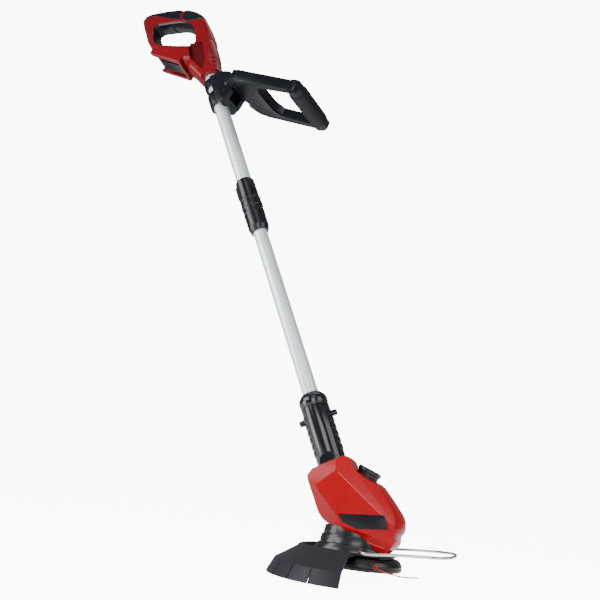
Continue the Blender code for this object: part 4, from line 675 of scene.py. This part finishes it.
# The guard reaches this many degrees round from the back on each side, and ends at the line cutter
GUARD_RIGHT, GUARD_LEFT = 87.3, 79.5
CUTTER = turned_frame(HEAD, (0, 0, 0), "Z", 180 - GUARD_LEFT)
SLIT_COUNT, FIRST_SLIT, SLIT_STEP = 10, 249.2, 14.8


def guard():
    """The guard: a profile of (radius, height) turned through the sector behind the spool,
    x = r cos a, y = r sin a, joined to a full round hub, with slits through its skirt."""
    profile = rounded([
        (38, 33.2), (80, 33.2), (81.5, 37.0), (84.5, 37.8), (87.5, 36.6), (90.5, 33.6), (117.2, 18.3),
        (118.8, 17.0), (128.5, 0), (126.1, 0), (115.6, 15.6), (86.6, 30.8), (38, 30.8)], 0.9)
    angle = np.linspace(PI - math.radians(GUARD_LEFT), PI + math.radians(GUARD_RIGHT), 161)
    body = surface("guard_skin", turned(profile, angle).swapaxes(0, 1), HEAD, crease=24)
    hub = lathe("hub", [(10, 33.2), (42, 33.2), (42, 30.8), (10, 30.8)], HEAD, 0.4, ring=True)
    weld(body, hub, block("cutter_boss", (105.5, 4, 5), (117, 12, 16), CUTTER, 0.5))
    slits = [block("slit", (115.5, -1.0, -6), (135, 1.0, 15.6),
                   turned_frame(HEAD, (0, 0, 0), "Z", FIRST_SLIT - SLIT_STEP * index))
             for index in range(SLIT_COUNT)]
    sinks = [drum("sink", 3.5, 28, 32.2, HEAD, (x, y, 0), sides=24)
             for x, y in ((27, 0), (-22, 22), (-22, -22))]
    carve(body, *slits, *sinks, crease=24)
    dressed(body, GUARD_GREY, "guard")
    blade = block("line_cutter_blade", (104.5, 2.5, 6), (114, 3.7, 15.5), CUTTER, 0.25)
    dressed(blade, BRIGHT_WIRE, "line_cutter")


def wire_guard():
    """The plant guard: a round wire carried along a smooth U, with its ends turned into the housing."""
    half = [(3, 36, 40), (3, 50, 39.5), (4, 61, 38.5), (9, 70, 37), (19, 73, 36.5), (50, 73, 39),
            (88, 72, 41), (103, 66, 41.5), (112, 52, 42), (117, 26, 42.5), (118, 0, 42.5)]
    route = half + [(x, -y, z) for x, y, z in half[-2::-1]]
    wire = sweep("plant_guard_wire", catmull(route, 8), 1.8, HEAD, 20)
    dressed(wire, BRIGHT_WIRE, "wire_guard")


# The line leaves the spool in this direction, in degrees round from ahead, at this height
LINE_EXIT, LINE_HEIGHT = -64, 20.0


def cutting_head():
    """The spool case, its cover and bump knob as turned profiles, with the line's red eyelet."""
    profile = [(7, 28.5), (20, 28.5), (22, 27.8), (33, 27.8), (35, 28.5), (45, 28.2), (48, 25.6), (50, 21),
               (50, 17.5), (48.4, 17.5), (48.4, 21), (46.2, 26.2), (7, 26.2)]
    case = lathe("spool_case", profile, HEAD, 0.9, 128, ring=True)
    line_way = turned_frame(HEAD, (0, 0, LINE_HEIGHT), "Z", LINE_EXIT)
    carve(case, drum("exit", 2.6, 44, 56, line_way, axis="X", sides=24), crease=26)
    dressed(case, SPOOL_BLACK, "spool_base")
    profile = [(49.4, 15.5), (49.4, 17.2), (50.4, 17.2), (48.5, 13.5), (30, 13.5), (28, 14.3), (18, 14.3),
               (16, 13.5), (14.5, 13.5), (14.5, 15.5)]
    cover = lathe("spool_cover_skin", profile, HEAD, 0.5, 128, ring=True)
    dressed(cover, SPOOL_BLACK, "spool_cover")
    profile = [(2.8, 0.9), (2.8, 0.2), (2.3, 0.2), (2.3, -2.8), (1.3, -2.8), (1.3, 0.9)]
    outward = turned_frame(line_way, (50.2, 0, 0), "Y", 90)
    eyelet = lathe("line_eyelet_skin", profile, outward, 0.3, 48, ring=True)
    dressed(eyelet, LINE_RED, "line_eyelet")
    profile = [(0, 17.5), (11, 17.5), (11, 23.5), (44, 23.5), (44, 22.3), (16, 22.3), (16, 18.1),
               (44, 18.1), (44, 16.9), (20, 16.9), (20, 15.8), (14, 15.8), (14, 12), (12, 10), (0, 10)]
    dressed(lathe("bump_knob_reel", profile, HEAD, 0.4), LINE_RED, "spool_reel")


def cutting_line():
    """The free end of the line, on the same route as its solid."""
    start = arc(1, np.radians([LINE_EXIT]))[0]
    route = [(*start * 49, LINE_HEIGHT), (*start * 55, 19.6), (35, -57.5, 17.4), (52, -63.5, 15.6),
             (66, -67.5, 15.8), (78, -70, 17.4)]
    path = catmull(route, 10)
    line = sweep("cutting_line_skin", path, 0.8, HEAD, 12)
    dressed(line, LINE_RED, "cutting_line")


# Rear handle

# Spokes round the handle's loop: x, z on the outside, x, z on the inside, and the half width
GRIP_SPOKES = np.array([
    (-55, 2, -20, -24, 16), (-41, 14, -10, -17.5, 16.5), (-10, 17, 2, -17, 16.5), (20, 16.5, 20, -17, 16.5),
    (44, 13.5, 38, -18, 16.5), (66, 5, 52, -23, 17), (84, -8, 63, -32, 17.5), (96, -24, 70, -46, 18.5),
    (107, -46, 75, -60, 20), (115, -72, 77, -73, 21), (108, -110, 70, -82, 23), (66, -121, 56, -84, 28),
    (36, -108, 36, -82.5, 29), (12, -97, 14, -79, 29), (-11, -82, -2, -73, 28), (-25, -66, -12, -58, 25),
    (-37, -42, -17, -40, 20)], float)
GRIP_RINGS = catmull(GRIP_SPOKES, 8, True)
# The superellipse powers of the loop's and the column's sections
GRIP_POWER, COLUMN_POWER = 4.5, 3.8
# Sections of the column: height, centre x, half length and half width
COLUMN = [(0, -0.5, 21.5, 21), (20, -4, 26, 22), (45, -6, 32, 24), (72, -1, 28, 23), (84, 4, 21, 21)]
HANDLE_WALL = 2.6
SIDE_OUTLINE = [(68, -77), (86, -77), (98, -81.5), (111.5, -124), (109.5, -147), (79.5, -119)]
# The screws' x and z, and the half width at each
HANDLE_SCREWS = [(-35, -7, 15.5), (78, -38, 17.5), (5, -84.5, 28)]
TRIGGER_PIVOT = (20, 0, -4)
TRIGGER_SLOT = ((15.5, -7.2, -45), (62.5, 7.2, -12))


def loop_rings(grow=0.0, first=None, last=None, angles=None):
    """Sections of the handle's loop: a superellipse round each spoke, grown outward. Angles may be one
    row for all sections or a row for each."""
    rings = GRIP_RINGS if first is None else GRIP_RINGS[np.arange(first, last + 1) % len(GRIP_RINGS)]
    angles = np.linspace(0, 2 * PI, 56, endpoint=False) if angles is None else angles
    grow = np.asarray(grow, float)
    centre = (rings[:, 0:2] + rings[:, 2:4]) / 2
    outward = rings[:, 0:2] - rings[:, 2:4]
    length = np.linalg.norm(outward, axis=1)[:, None]
    c, s = np.cos(np.atleast_2d(angles)), np.sin(np.atleast_2d(angles))
    u = np.sign(c) * np.abs(c) ** (2 / GRIP_POWER) * (length / 2 + grow)
    v = np.sign(s) * np.abs(s) ** (2 / GRIP_POWER) * (rings[:, 4:5] + grow)
    flat = centre[:, None] + (outward / length)[:, None] * u[..., None]
    return np.stack([flat[..., 0], v, flat[..., 1]], -1)


def column_rings(grow=0.0, first=0.0):
    """Sections of the handle's column, square to the shaft, from a first height on."""
    levels = catmull(COLUMN, 5)
    levels[:, 0] = np.maximum(levels[:, 0], first)
    return stacked(levels, 64, COLUMN_POWER, grow)


def both_sides(name, outline, near, far, corner=1.2):
    """The same flat slab on the right and the left of the middle plane."""
    return [slab(name, outline, side * near, side * far, WORLD, corner, 0.4) for side in (-1, 1)]


def screw_drums(name, radius, low, high, sides=24):
    """A cylinder across the handle at each of its screws."""
    return [drum(name, radius, low, high, WORLD, (x, 0, z), "Y", sides) for x, z, _ in HANDLE_SCREWS]


def rear_handle():
    """The D-shaped handle: a hollow loop and column with a recessed side panel, a long groove down the
    column, three ribs at the tube's mouth, the battery rails and the holes for trigger and button."""
    body = surface("rear_handle_skin", loop_rings(), WORLD, closed=True)
    weld(body, surface("column", column_rings(), SHAFT),
         block("foot", (-38, -29, -9), (38, 29, 6), FOOT, 1.2))
    channel = [(-24, 0), (-24, -6.4), (-20, -6.4), (-20, -12), (20, -12), (20, -6.4), (24, -6.4), (24, 0)]
    carve(body, surface("hollow", loop_rings(-HANDLE_WALL), WORLD, closed=True),
          surface("hollow_column", column_rings(-HANDLE_WALL, 14), SHAFT),
          slab("rail_channel", channel, -80, 32, FOOT, 0.3, 0, plane="YZ"),
          drum("tube_bore", UPPER_TUBE_R + 0.2, -5, 52.2, SHAFT, sides=64))
    weld(body, *both_sides("panel_floor", SIDE_OUTLINE, 17.6, 15.0))
    weld(body, *[drum("boss", 4.8, 1 - width, width - 1, WORLD, (x, 0, z), "Y", 24)
                 for x, z, width in HANDLE_SCREWS])
    carve(body, *both_sides("panel_recess", SIDE_OUTLINE, 17.5, 40, 2.0))
    groove = [(91, 18.3, -28), (100, 19.3, -45), (109, 20.4, -65), (116, 21.4, -90), (122, 22.1, -112)]
    carve(body, *[sweep("column_groove", catmull(groove, 5) * (1, side, 1), 1.7, WORLD, 12, (0, 1, 0))
                  for side in (-1, 1)])
    for height in (9, 19, 29):
        band = block("rib_gap", (13, -40, height), (60, 40, height + 2.4), SHAFT, 0.3)
        carve(body, carve(band, surface("rib_floor", column_rings(-1.0), SHAFT)))
    carve(body, block("trigger_slot", *TRIGGER_SLOT, WORLD, 0.5),
          drum("button_well", 4.7, -20, 20, LOCK_OFF),
          drum("pin_hole", 1.7, -11, 11, WORLD, TRIGGER_PIVOT, "Y", 24),
          *screw_drums("screw_hole", 1.7, -11, 40))
    left = linked("rear_handle_skin_left", body.data.copy())
    body.name = "rear_handle_skin_right"
    carve(body, block("left_half", (-200, -HALF_GAP, -400), (400, 90, 200), WORLD), crease=24)
    carve(left, block("right_half", (-200, -90, -400), (400, HALF_GAP, 200), WORLD),
          *screw_drums("screw_recess", 3.4, 12, 40, 32), crease=24)
    # Both shells in the darker red that paints the handle's shade
    dressed(body, SHADED_HANDLE_RED, "rear_shell_right")
    dressed(left, SHADED_HANDLE_RED, "rear_shell_left")
    # Inlays in the side recess: grained, and painted darker as the recess's shade
    outline = inset(SIDE_OUTLINE, [0.7])[0]
    for side, word in SIDES:
        inlay = slab(f"side_panel_{word}", outline, side * 17.5, side * 18.1, WORLD, 1.8, 0.25)
        dressed(inlay, GRAINED_SHADED_RED, body="handle", slot="red_plastic")


def handle_pad(name, first, last, reach, look, *nodes, outside=True, thick=1.35, **place):
    """A pad on the outside or inside of the loop between two sections. It wraps the section down to the
    height u = reach, as a share of half the section, so its half angle is acos(u^(p/2)). Its thickness
    follows t (1 - |2s - 1|^14)^(1/2) across the band and rolls off over its first and last sections."""
    clearance, taper = 0.15, 3
    share = np.sin(np.linspace(-PI / 2, PI / 2, 41)) / 2 + 0.5
    rows = last - first + 1
    reach = np.interp(np.linspace(0, 1, rows), np.linspace(0, 1, len(reach)), reach)
    half_angle = np.arccos(np.sign(reach) * np.abs(reach) ** (GRIP_POWER / 2))
    angles = half_angle[:, None] * (2 * share - 1) + (0 if outside else PI)
    lift = np.sqrt(np.clip(1 - np.abs(2 * share - 1) ** 14, 0, 1))
    end_distance = np.minimum(np.arange(rows), np.arange(rows)[::-1]) / taper
    roll = np.sqrt(np.clip(1 - (1 - np.minimum(end_distance, 1)) ** 2, 0.02, 1))
    thickness = clearance + thick * np.maximum(lift[None] * roll[:, None], 0.03)
    outer = loop_rings(thickness, first, last, angles)
    inner = loop_rings(clearance, first, last, angles)[:, ::-1]
    pad = surface(name, np.concatenate([outer, inner], 1), WORLD, crease=50)
    return dressed(pad, look, *nodes, **place)


def handle_pads():
    """The soft pad and the dark cover on top of the grip, the pad inside the rear post and the
    dark lining of the finger opening."""
    handle_pad("grip_pad_top_skin", 4, 29, [0.8, 0.45, 0.02, -0.38, -0.58], SOFT_GRIP, "grip_pad_top")
    cover = handle_pad("top_cover_skin", 31, 52, [-0.55, -0.62, -0.6, 0.1, 0.8], SATIN_BLACK, "top_cover")
    carve(cover, drum("button_well", 4.7, -20, 20, LOCK_OFF))
    handle_pad("grip_pad_rear_skin", 108, 143, [0.75, 0.75], SOFT_GRIP, "grip_pad_rear", outside=False)
    lining = handle_pad("finger_lining", 6, 54, [0.8, 0.8], SATIN_BLACK, outside=False, thick=0.9,
                        body="handle", slot="soft_black")
    carve(lining, block("trigger_slot", *TRIGGER_SLOT, WORLD))


def trigger_parts():
    """The trigger, the lock-off button and the terminal block in the battery foot."""
    dressed(copy_of_node("trigger", "trigger_skin", 35, 1.0, 3), SATIN_BLACK, "trigger")
    profile = [(0, 6.5), (2.8, 6.5), (4.4, 4.9), (4.5, 3.2), (4.5, -6), (0, -6)]
    button = lathe("lock_off_cap", profile, LOCK_OFF, 0.8, 48)
    dressed(button, SATIN_BLACK, "lock_off_button")
    dressed(copy_of_node("terminal_block", "terminal_block_skin", 35, 0.4), SATIN_BLACK, "terminal_block")


# Shaft

def shaft_tubes():
    """Both thin tubes with softly rolled ends."""
    for node, radius, high, low in (("upper_tube", UPPER_TUBE_R, 52, -321),
                                    ("lower_tube", LOWER_TUBE_R, -191, -727.3)):
        inner = radius - TUBE_WALL
        profile = [(radius, high), (radius, low), (inner, low), (inner, high)]
        dressed(lathe(f"{node}_skin", profile, SHAFT, 0.25, ring=True), ANODISED_TUBE, node)


def lock_sleeve():
    """The sleeve: a collar with a key rib and two raised rings, and the twist nut with its rings."""
    top, bottom, bore = -252.0, -303.0, LOWER_TUBE_R + 0.3
    collar = lathe("sleeve_collar_skin", [
        (15.4, top), (16.6, top - 1.2), (17, top - 5), (17.3, top - 36), (17.3, top - 38), (18.2, top - 39),
        (18.2, top - 42), (17.2, top - 43), (17.2, top - 46), (18.2, top - 47), (18.2, bottom),
        (15.2, bottom), (15.2, -329), (bore, -329), (bore, -322), (13.7, -322), (13.7, top)],
                   SHAFT, 0.5, ring=True)
    weld(collar, block("key", (-19.2, -3, top - 32), (-16, 3, top - 6), SHAFT, 0.8))
    dressed(collar, SLEEVE_BLACK, "sleeve_collar")
    nut = lathe("lock_nut_skin", [
        (18.6, -303.3), (18.6, -309.3), (17.6, -310.8), (17.6, -318.3), (18.4, -319.3), (18.4, -321.5),
        (18.0, -323), (17.8, -349.3), (15.0, -358.3), (bore, -358.3), (bore, -355), (15.4, -347),
        (15.4, -303.3)], SHAFT, 0.5, ring=True)
    dressed(nut, SLEEVE_BLACK, "lock_nut")


# Neck

NECK_R = 21
NECK_TOP = 83
BUTTON_HEIGHT = 66
# The ribs stand on the neck from a first height, evenly over a length
RIB_COUNT, RIB_START, RIB_LENGTH = 6, 13, 61


def neck():
    """The neck: a turned body with rows of ribs before and behind, a drum for the tilt pivot, slots for
    the head's ears and holes for the buttons, split on the middle plane."""
    dome = arc(NECK_R, -np.linspace(0, PI / 2, 15))
    body = lathe("neck_skin_right", np.vstack([[(0, NECK_TOP), (NECK_R, NECK_TOP)], dome]), NECK, 0.3)
    weld(body, drum("pivot_drum", 13.4, -21.8, 21.8, NECK, axis="Y", sides=80, edge=1.2))
    for index in range(RIB_COUNT):
        low = RIB_START + index * RIB_LENGTH / RIB_COUNT
        rib = drum("rib", NECK_R + 1, low, low + 7.3, NECK, sides=96, edge=0.9)
        window = block("window", (-30, -14, low - 1), (30, 14, low + 9), NECK, 0.5)
        weld(body, combined(rib, [window], "INTERSECT"))
    reach = arc(8.5, np.linspace(HEAD_TILT, PI - HEAD_TILT, 24))
    spread = reach[0, 0] + (30 + reach[0, 1]) * math.tan(HEAD_TILT)
    ears = np.vstack([reach, [(-spread, -30), (spread, -30)]])
    carve(body, drum("bore", LOWER_TUBE_R + 0.3, 14.99, 84, NECK, sides=64),
          drum("swivel_seat", 15.8, 15, 25, NECK, sides=64), drum("duct", 5, -30, 16, NECK),
          *[slab("ear_slot", ears, side * 7.7, side * 14.3, NECK, 0.3, 0) for side in (-1, 1)],
          drum("button_hole", 4.8, -31, 31, NECK, (0, 0, BUTTON_HEIGHT), "X", 32),
          drum("pin_hole", 3.3, -30, 30, NECK, axis="Y", sides=32),
          block("seam", (-100, -HALF_GAP, -100), (100, 60, 200), NECK), crease=28)
    left = mirrored(body, "neck_skin_left", 28)
    dressed(body, GLOSSY_BLACK, "neck_shell_right")
    dressed(left, GLOSSY_BLACK, "neck_shell_left")
    profile = [(14.2, 104), (20.6, 96.4), (21.6, 92), (21.6, 86.4), (20.9, 85.4), (20.9, 83.3),
               (12.3, 83.3), (12.3, 104)]
    collar = lathe("neck_collar_skin", profile, NECK, 0.9, ring=True)
    dressed(collar, GLOSSY_BLACK, "neck_collar")


def neck_buttons():
    """The two round detent buttons of the swivel, before and behind."""
    for side, node in ((1, "front"), (-1, "rear")):
        outward = turned_frame(NECK, (0, 0, BUTTON_HEIGHT), "Y", 90 * side)
        button = lathe(f"swivel_button_{node}", [(0, 14), (3.2, 14), (4.6, 12.2), (4.6, 0), (0, 0)],
                       turned_frame(outward, (0, 0, 15.5), "Z", 0), 1.0, 48)
        dressed(button, SATIN_BLACK, f"neck_button_{node}")


# Loop handle and clamp

# The loop's bar: its distance from the bolt, its half sizes in x and z under the cover, and half its length
BAR_X, BAR_HALF_X, BAR_HALF_Z, COVER_HALF = 175, 14.5, 12.5, 46


def loop_and_clamp():
    """The clamp halves with a web between their cheeks and a cut corner, the loop with a gusset at each
    root, and the cover of its bar: a superellipse section that is raised by t (1 - |s|^24)^(1/2)."""
    web = np.vstack([arc(13.7, np.radians(np.linspace(-100, -170, 9)), (33, -52)),
                     [(16.5, -58), (16.5, -81.2), (24.5, -79.2)]])
    corner = [(8, -17), (20, -17.5), (34, -22), (50, -36), (60, -20), (60, 0), (8, 0)]
    for side, word in SIDES:
        node = f"clamp_{word}"
        half = copy_of_node(node, f"{node}_skin", 30)
        weld(half, slab("web", web, side * 0.2, side * 15, CLAMP, 0.3, 0))
        carve(half, slab("corner", corner, -40, 40, CLAMP, 6.0, 0))
        dressed(softened(half, 0.8, 3, 32), GRAINED_BLACK, node)
    loop = copy_of_node("loop_handle", "loop_handle_skin", 30)
    for side in (-1, 1):
        gusset = np.array([(27.6, 25.0), (22, 34), (27, 50), (38, 61), (51, 62), (34, 36)]) * (1, side)
        weld(loop, slab("gusset", gusset, -8.9, 8.9, LOOP, 3.0, 0, plane="XY"))
    dressed(softened(loop, 1.4, 3, 32), GRAINED_BLACK, "loop_handle")
    shape = superellipse(BAR_HALF_Z, BAR_HALF_X, 64)
    share = np.linspace(-1, 1, 41)[:, None]
    lift = 0.15 + 1.25 * np.sqrt(np.clip(1 - np.abs(share) ** 24, 0.01, 1))
    outer = np.stack([BAR_X + shape[None, :, 0] * (1 + lift / BAR_HALF_X),
                      np.repeat(share * COVER_HALF, 64, 1),
                      shape[None, :, 1] * (1 + lift / BAR_HALF_Z)], -1)
    cover = surface("loop_grip_cover_skin", outer, LOOP, crease=40)
    core = np.stack([BAR_X + shape[:, 0] * 14.65 / BAR_HALF_X, shape[:, 0] * 0,
                     shape[:, 1] * 12.65 / BAR_HALF_Z], -1)
    carve(cover, surface("bar", np.stack([core + (0, y, 0) for y in (-60, 60)]), LOOP))
    dressed(cover, SOFT_GRIP, "loop_grip_cover")


def screws():
    """Every screw, the bolt and its nut: merged copies with softly broken edges."""
    for node in frame["nodes"]:
        if "screw" in node or node in ("handle_bolt", "handle_nut"):
            look = DARK_SCREW if BODY_OF[node] in ("loop", "handle") else ZINC_SCREW
            dressed(copy_of_node(node, f"{node}_skin", 30, 0.25, 2, 35), look, node)


# Power cable and springs

CABLE_R = 2.2
# The cable comes out of the handle at this height on the shaft, and its coil starts at the next
CABLE_TOP, COIL_TOP = 74, 44
COIL_R, COIL_TURNS, COIL_PITCH = 5.2, 50, 5.1


def power_cable():
    """The cable from switch to motor: a lead, a helix (r cos t, r sin t, z - pitch t / 2 pi) and a lead
    down to the pivot, and a last run that bends into the head."""
    turn = np.linspace(0, 2 * PI * COIL_TURNS, 18 * COIL_TURNS + 1)
    helix = np.column_stack([arc(COIL_R, turn), COIL_TOP - COIL_PITCH * turn / (2 * PI)])
    foot = helix[-1, 2]
    top = [(4, 0, CABLE_TOP), (4, 0, 64), (4.6, 0, 54), (COIL_R, 0, COIL_TOP)]
    low = [(COIL_R, 0, foot), (4, 0, foot - 8), (0.5, 0, foot - 22), (0, 0, foot - 40), (0, 0, -500),
           (0, 0, 30 - PIVOT_BELOW_MOUTH)]
    for name, route, normal in (("cable_lead_top", catmull(top, 6), (0, 1, 0)),
                                ("cable_coil", helix, (0, 0, 1)),
                                ("cable_lead_low", catmull(low, 6), (0, 1, 0))):
        lead = sweep(name, route, CABLE_R, SHAFT, 12, normal)
        dressed(lead, SATIN_BLACK, "power_cable")
        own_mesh(lead)
    route = [(-65.1, 0, 173.3), (-53.4, 0, 145.7), (-44, 0, 123.6), (-35, 0, 114.6), (-21.6, 0, 111.1),
             (-9.6, 0, 107.1)]
    bend = sweep("cable_bend", catmull(route, 10), CABLE_R, HEAD, 12, (0, 1, 0))
    dressed(bend, SATIN_BLACK, "power_cable", bends=True)
    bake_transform(bend)


def springs():
    """The coil springs of the trigger, the lock-off button, the tilt button and the reel, as merged copies
    of their nodes.
    """
    for node, joint, base, still_end, travel in (
            ("trigger_spring", "trigger_pull", WORLD, "top", 1.9),
            ("lock_off_spring", "lock_off_press", LOCK_OFF, "foot", 3.0),
            ("tilt_button_spring", "tilt_button_press", TILT_BUTTON, "foot", 3.0),
            ("spool_spring", "reel_lift", HEAD, "top", 2.4)):
        coil = dressed(copy_of_node(node, f"{node}_skin", 50), SPRING_STEEL, node)
        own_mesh(coil)


def hidden_parts():
    """The pieces inside the shells keep their solids and get their own materials."""
    for look, nodes in ((MOTOR_CASE, ("motor_can",)), (BRIGHT_WIRE, ("motor_shaft", "trigger_pin")),
                        (SATIN_BLACK, ("tilt_pin_right", "tilt_pin_left", "switch_body")),
                        (NATURAL_NYLON, ("collet", "swivel_sleeve")), (LINE_RED, ("line_winding",))):
        for node in nodes:
            materials = frame["nodes"][node].data.materials
            materials.clear()
            materials.append(look)


# Studio

def soft_box(name, at, toward, width, height, power):
    """A rectangular area light at a point, turned toward another."""
    light = bpy.data.lights.new(name, "AREA")
    light.shape = "RECTANGLE"
    light.size, light.size_y, light.energy = width, height, power
    obj = linked(name, light)
    obj.location = at
    obj.rotation_euler = (Vector(toward) - Vector(at)).to_track_quat("-Z", "Y").to_euler()


def white_to_camera(tree, strength, elsewhere, seen, mirrored_level):
    """Drive a strength socket so that the backdrop is brighter where the camera sees it directly, and
    has a level of its own in reflections."""
    path = tree.nodes.new("ShaderNodeLightPath").outputs
    direct = math_node(tree, "MULTIPLY", path["Is Camera Ray"], seen - elsewhere)
    gloss = math_node(tree, "MULTIPLY", path["Is Glossy Ray"], mirrored_level - elsewhere)
    level = math_node(tree, "ADD", math_node(tree, "ADD", direct, gloss), elsewhere)
    tree.links.new(level, strength)


def studio():
    """The camera, the white floor and the soft lights."""
    scene = bpy.context.scene
    lens = bpy.data.cameras.new("photo_camera")
    lens.lens, lens.sensor_width, lens.clip_start = 35.87, 36, 0.01
    camera = linked("photo_camera", lens)
    right, up = (0.95892, 0.26616, 0.09809), (-0.00425, -0.33229, 0.94317)
    back = (0.28363, -0.90484, -0.31751)
    rotation = Matrix((right, up, back)).transposed()
    camera.matrix_world = Matrix.Translation((0.6122, -0.8565, -0.9053)) @ rotation.to_4x4()
    scene.camera = camera
    world = bpy.data.worlds.new("white_studio")
    world.use_nodes = True
    background = world.node_tree.nodes["Background"]
    background.inputs["Color"].default_value = (1, 1, 1, 1)
    white_to_camera(world.node_tree, background.inputs["Strength"], 0.25, 10.0, 0.25)
    scene.world = world
    soft_box("left_strip", (-0.245, -0.33, -0.53), (0.33, 0, -0.62), 0.32, 0.9, 6)
    soft_box("upper_left_panel", (-0.22, -0.80, -0.39), (0.41, -0.03, -0.87), 0.36, 0.30, 2.6)
    soft_box("side_panel", (1.6, -0.6, -0.2), (0.33, 0, -0.65), 0.9, 0.9, 8)
    soft_box("camera_strip", (0.63, -1.45, -0.40), (0.33, 0, -0.6), 0.62, 0.7, 7)
    soft_box("key_panel", (0.55, -1.5, 0.9), (0.33, 0, -0.6), 1.2, 0.5, 4)
    soft_box("top_panel", (0.4, 0.1, 1.2), (0.25, 0, -0.5), 1.6, 1.2, 5)
    floor = bpy.data.meshes.new("studio_floor")
    size, low = 6.0, -0.9965
    floor.from_pydata([(-size, -size, low), (size, -size, low), (size, size, low), (-size, size, low)], [],
                      [(0, 1, 2, 3)])
    plane = linked("studio_floor", floor)
    paper = bpy.data.materials.new("white_paper")
    paper.use_nodes = True
    shader = wired(paper.node_tree, paper.node_tree.nodes["Principled BSDF"], {
        "Base Color": (0.92, 0.92, 0.92, 1), "Roughness": 0.9, "Emission Color": (1, 1, 1, 1)})
    white_to_camera(paper.node_tree, shader.inputs["Emission Strength"], 0.0, 10.0, 1.1)
    floor.materials.append(paper)


for build in (studio, cutting_line, pod_shells, name_plate, head_fittings, guard, wire_guard, cutting_head,
              rear_handle, handle_pads, trigger_parts, shaft_tubes, lock_sleeve, neck, neck_buttons,
              loop_and_clamp, screws, power_cable, springs, hidden_parts):
    build()
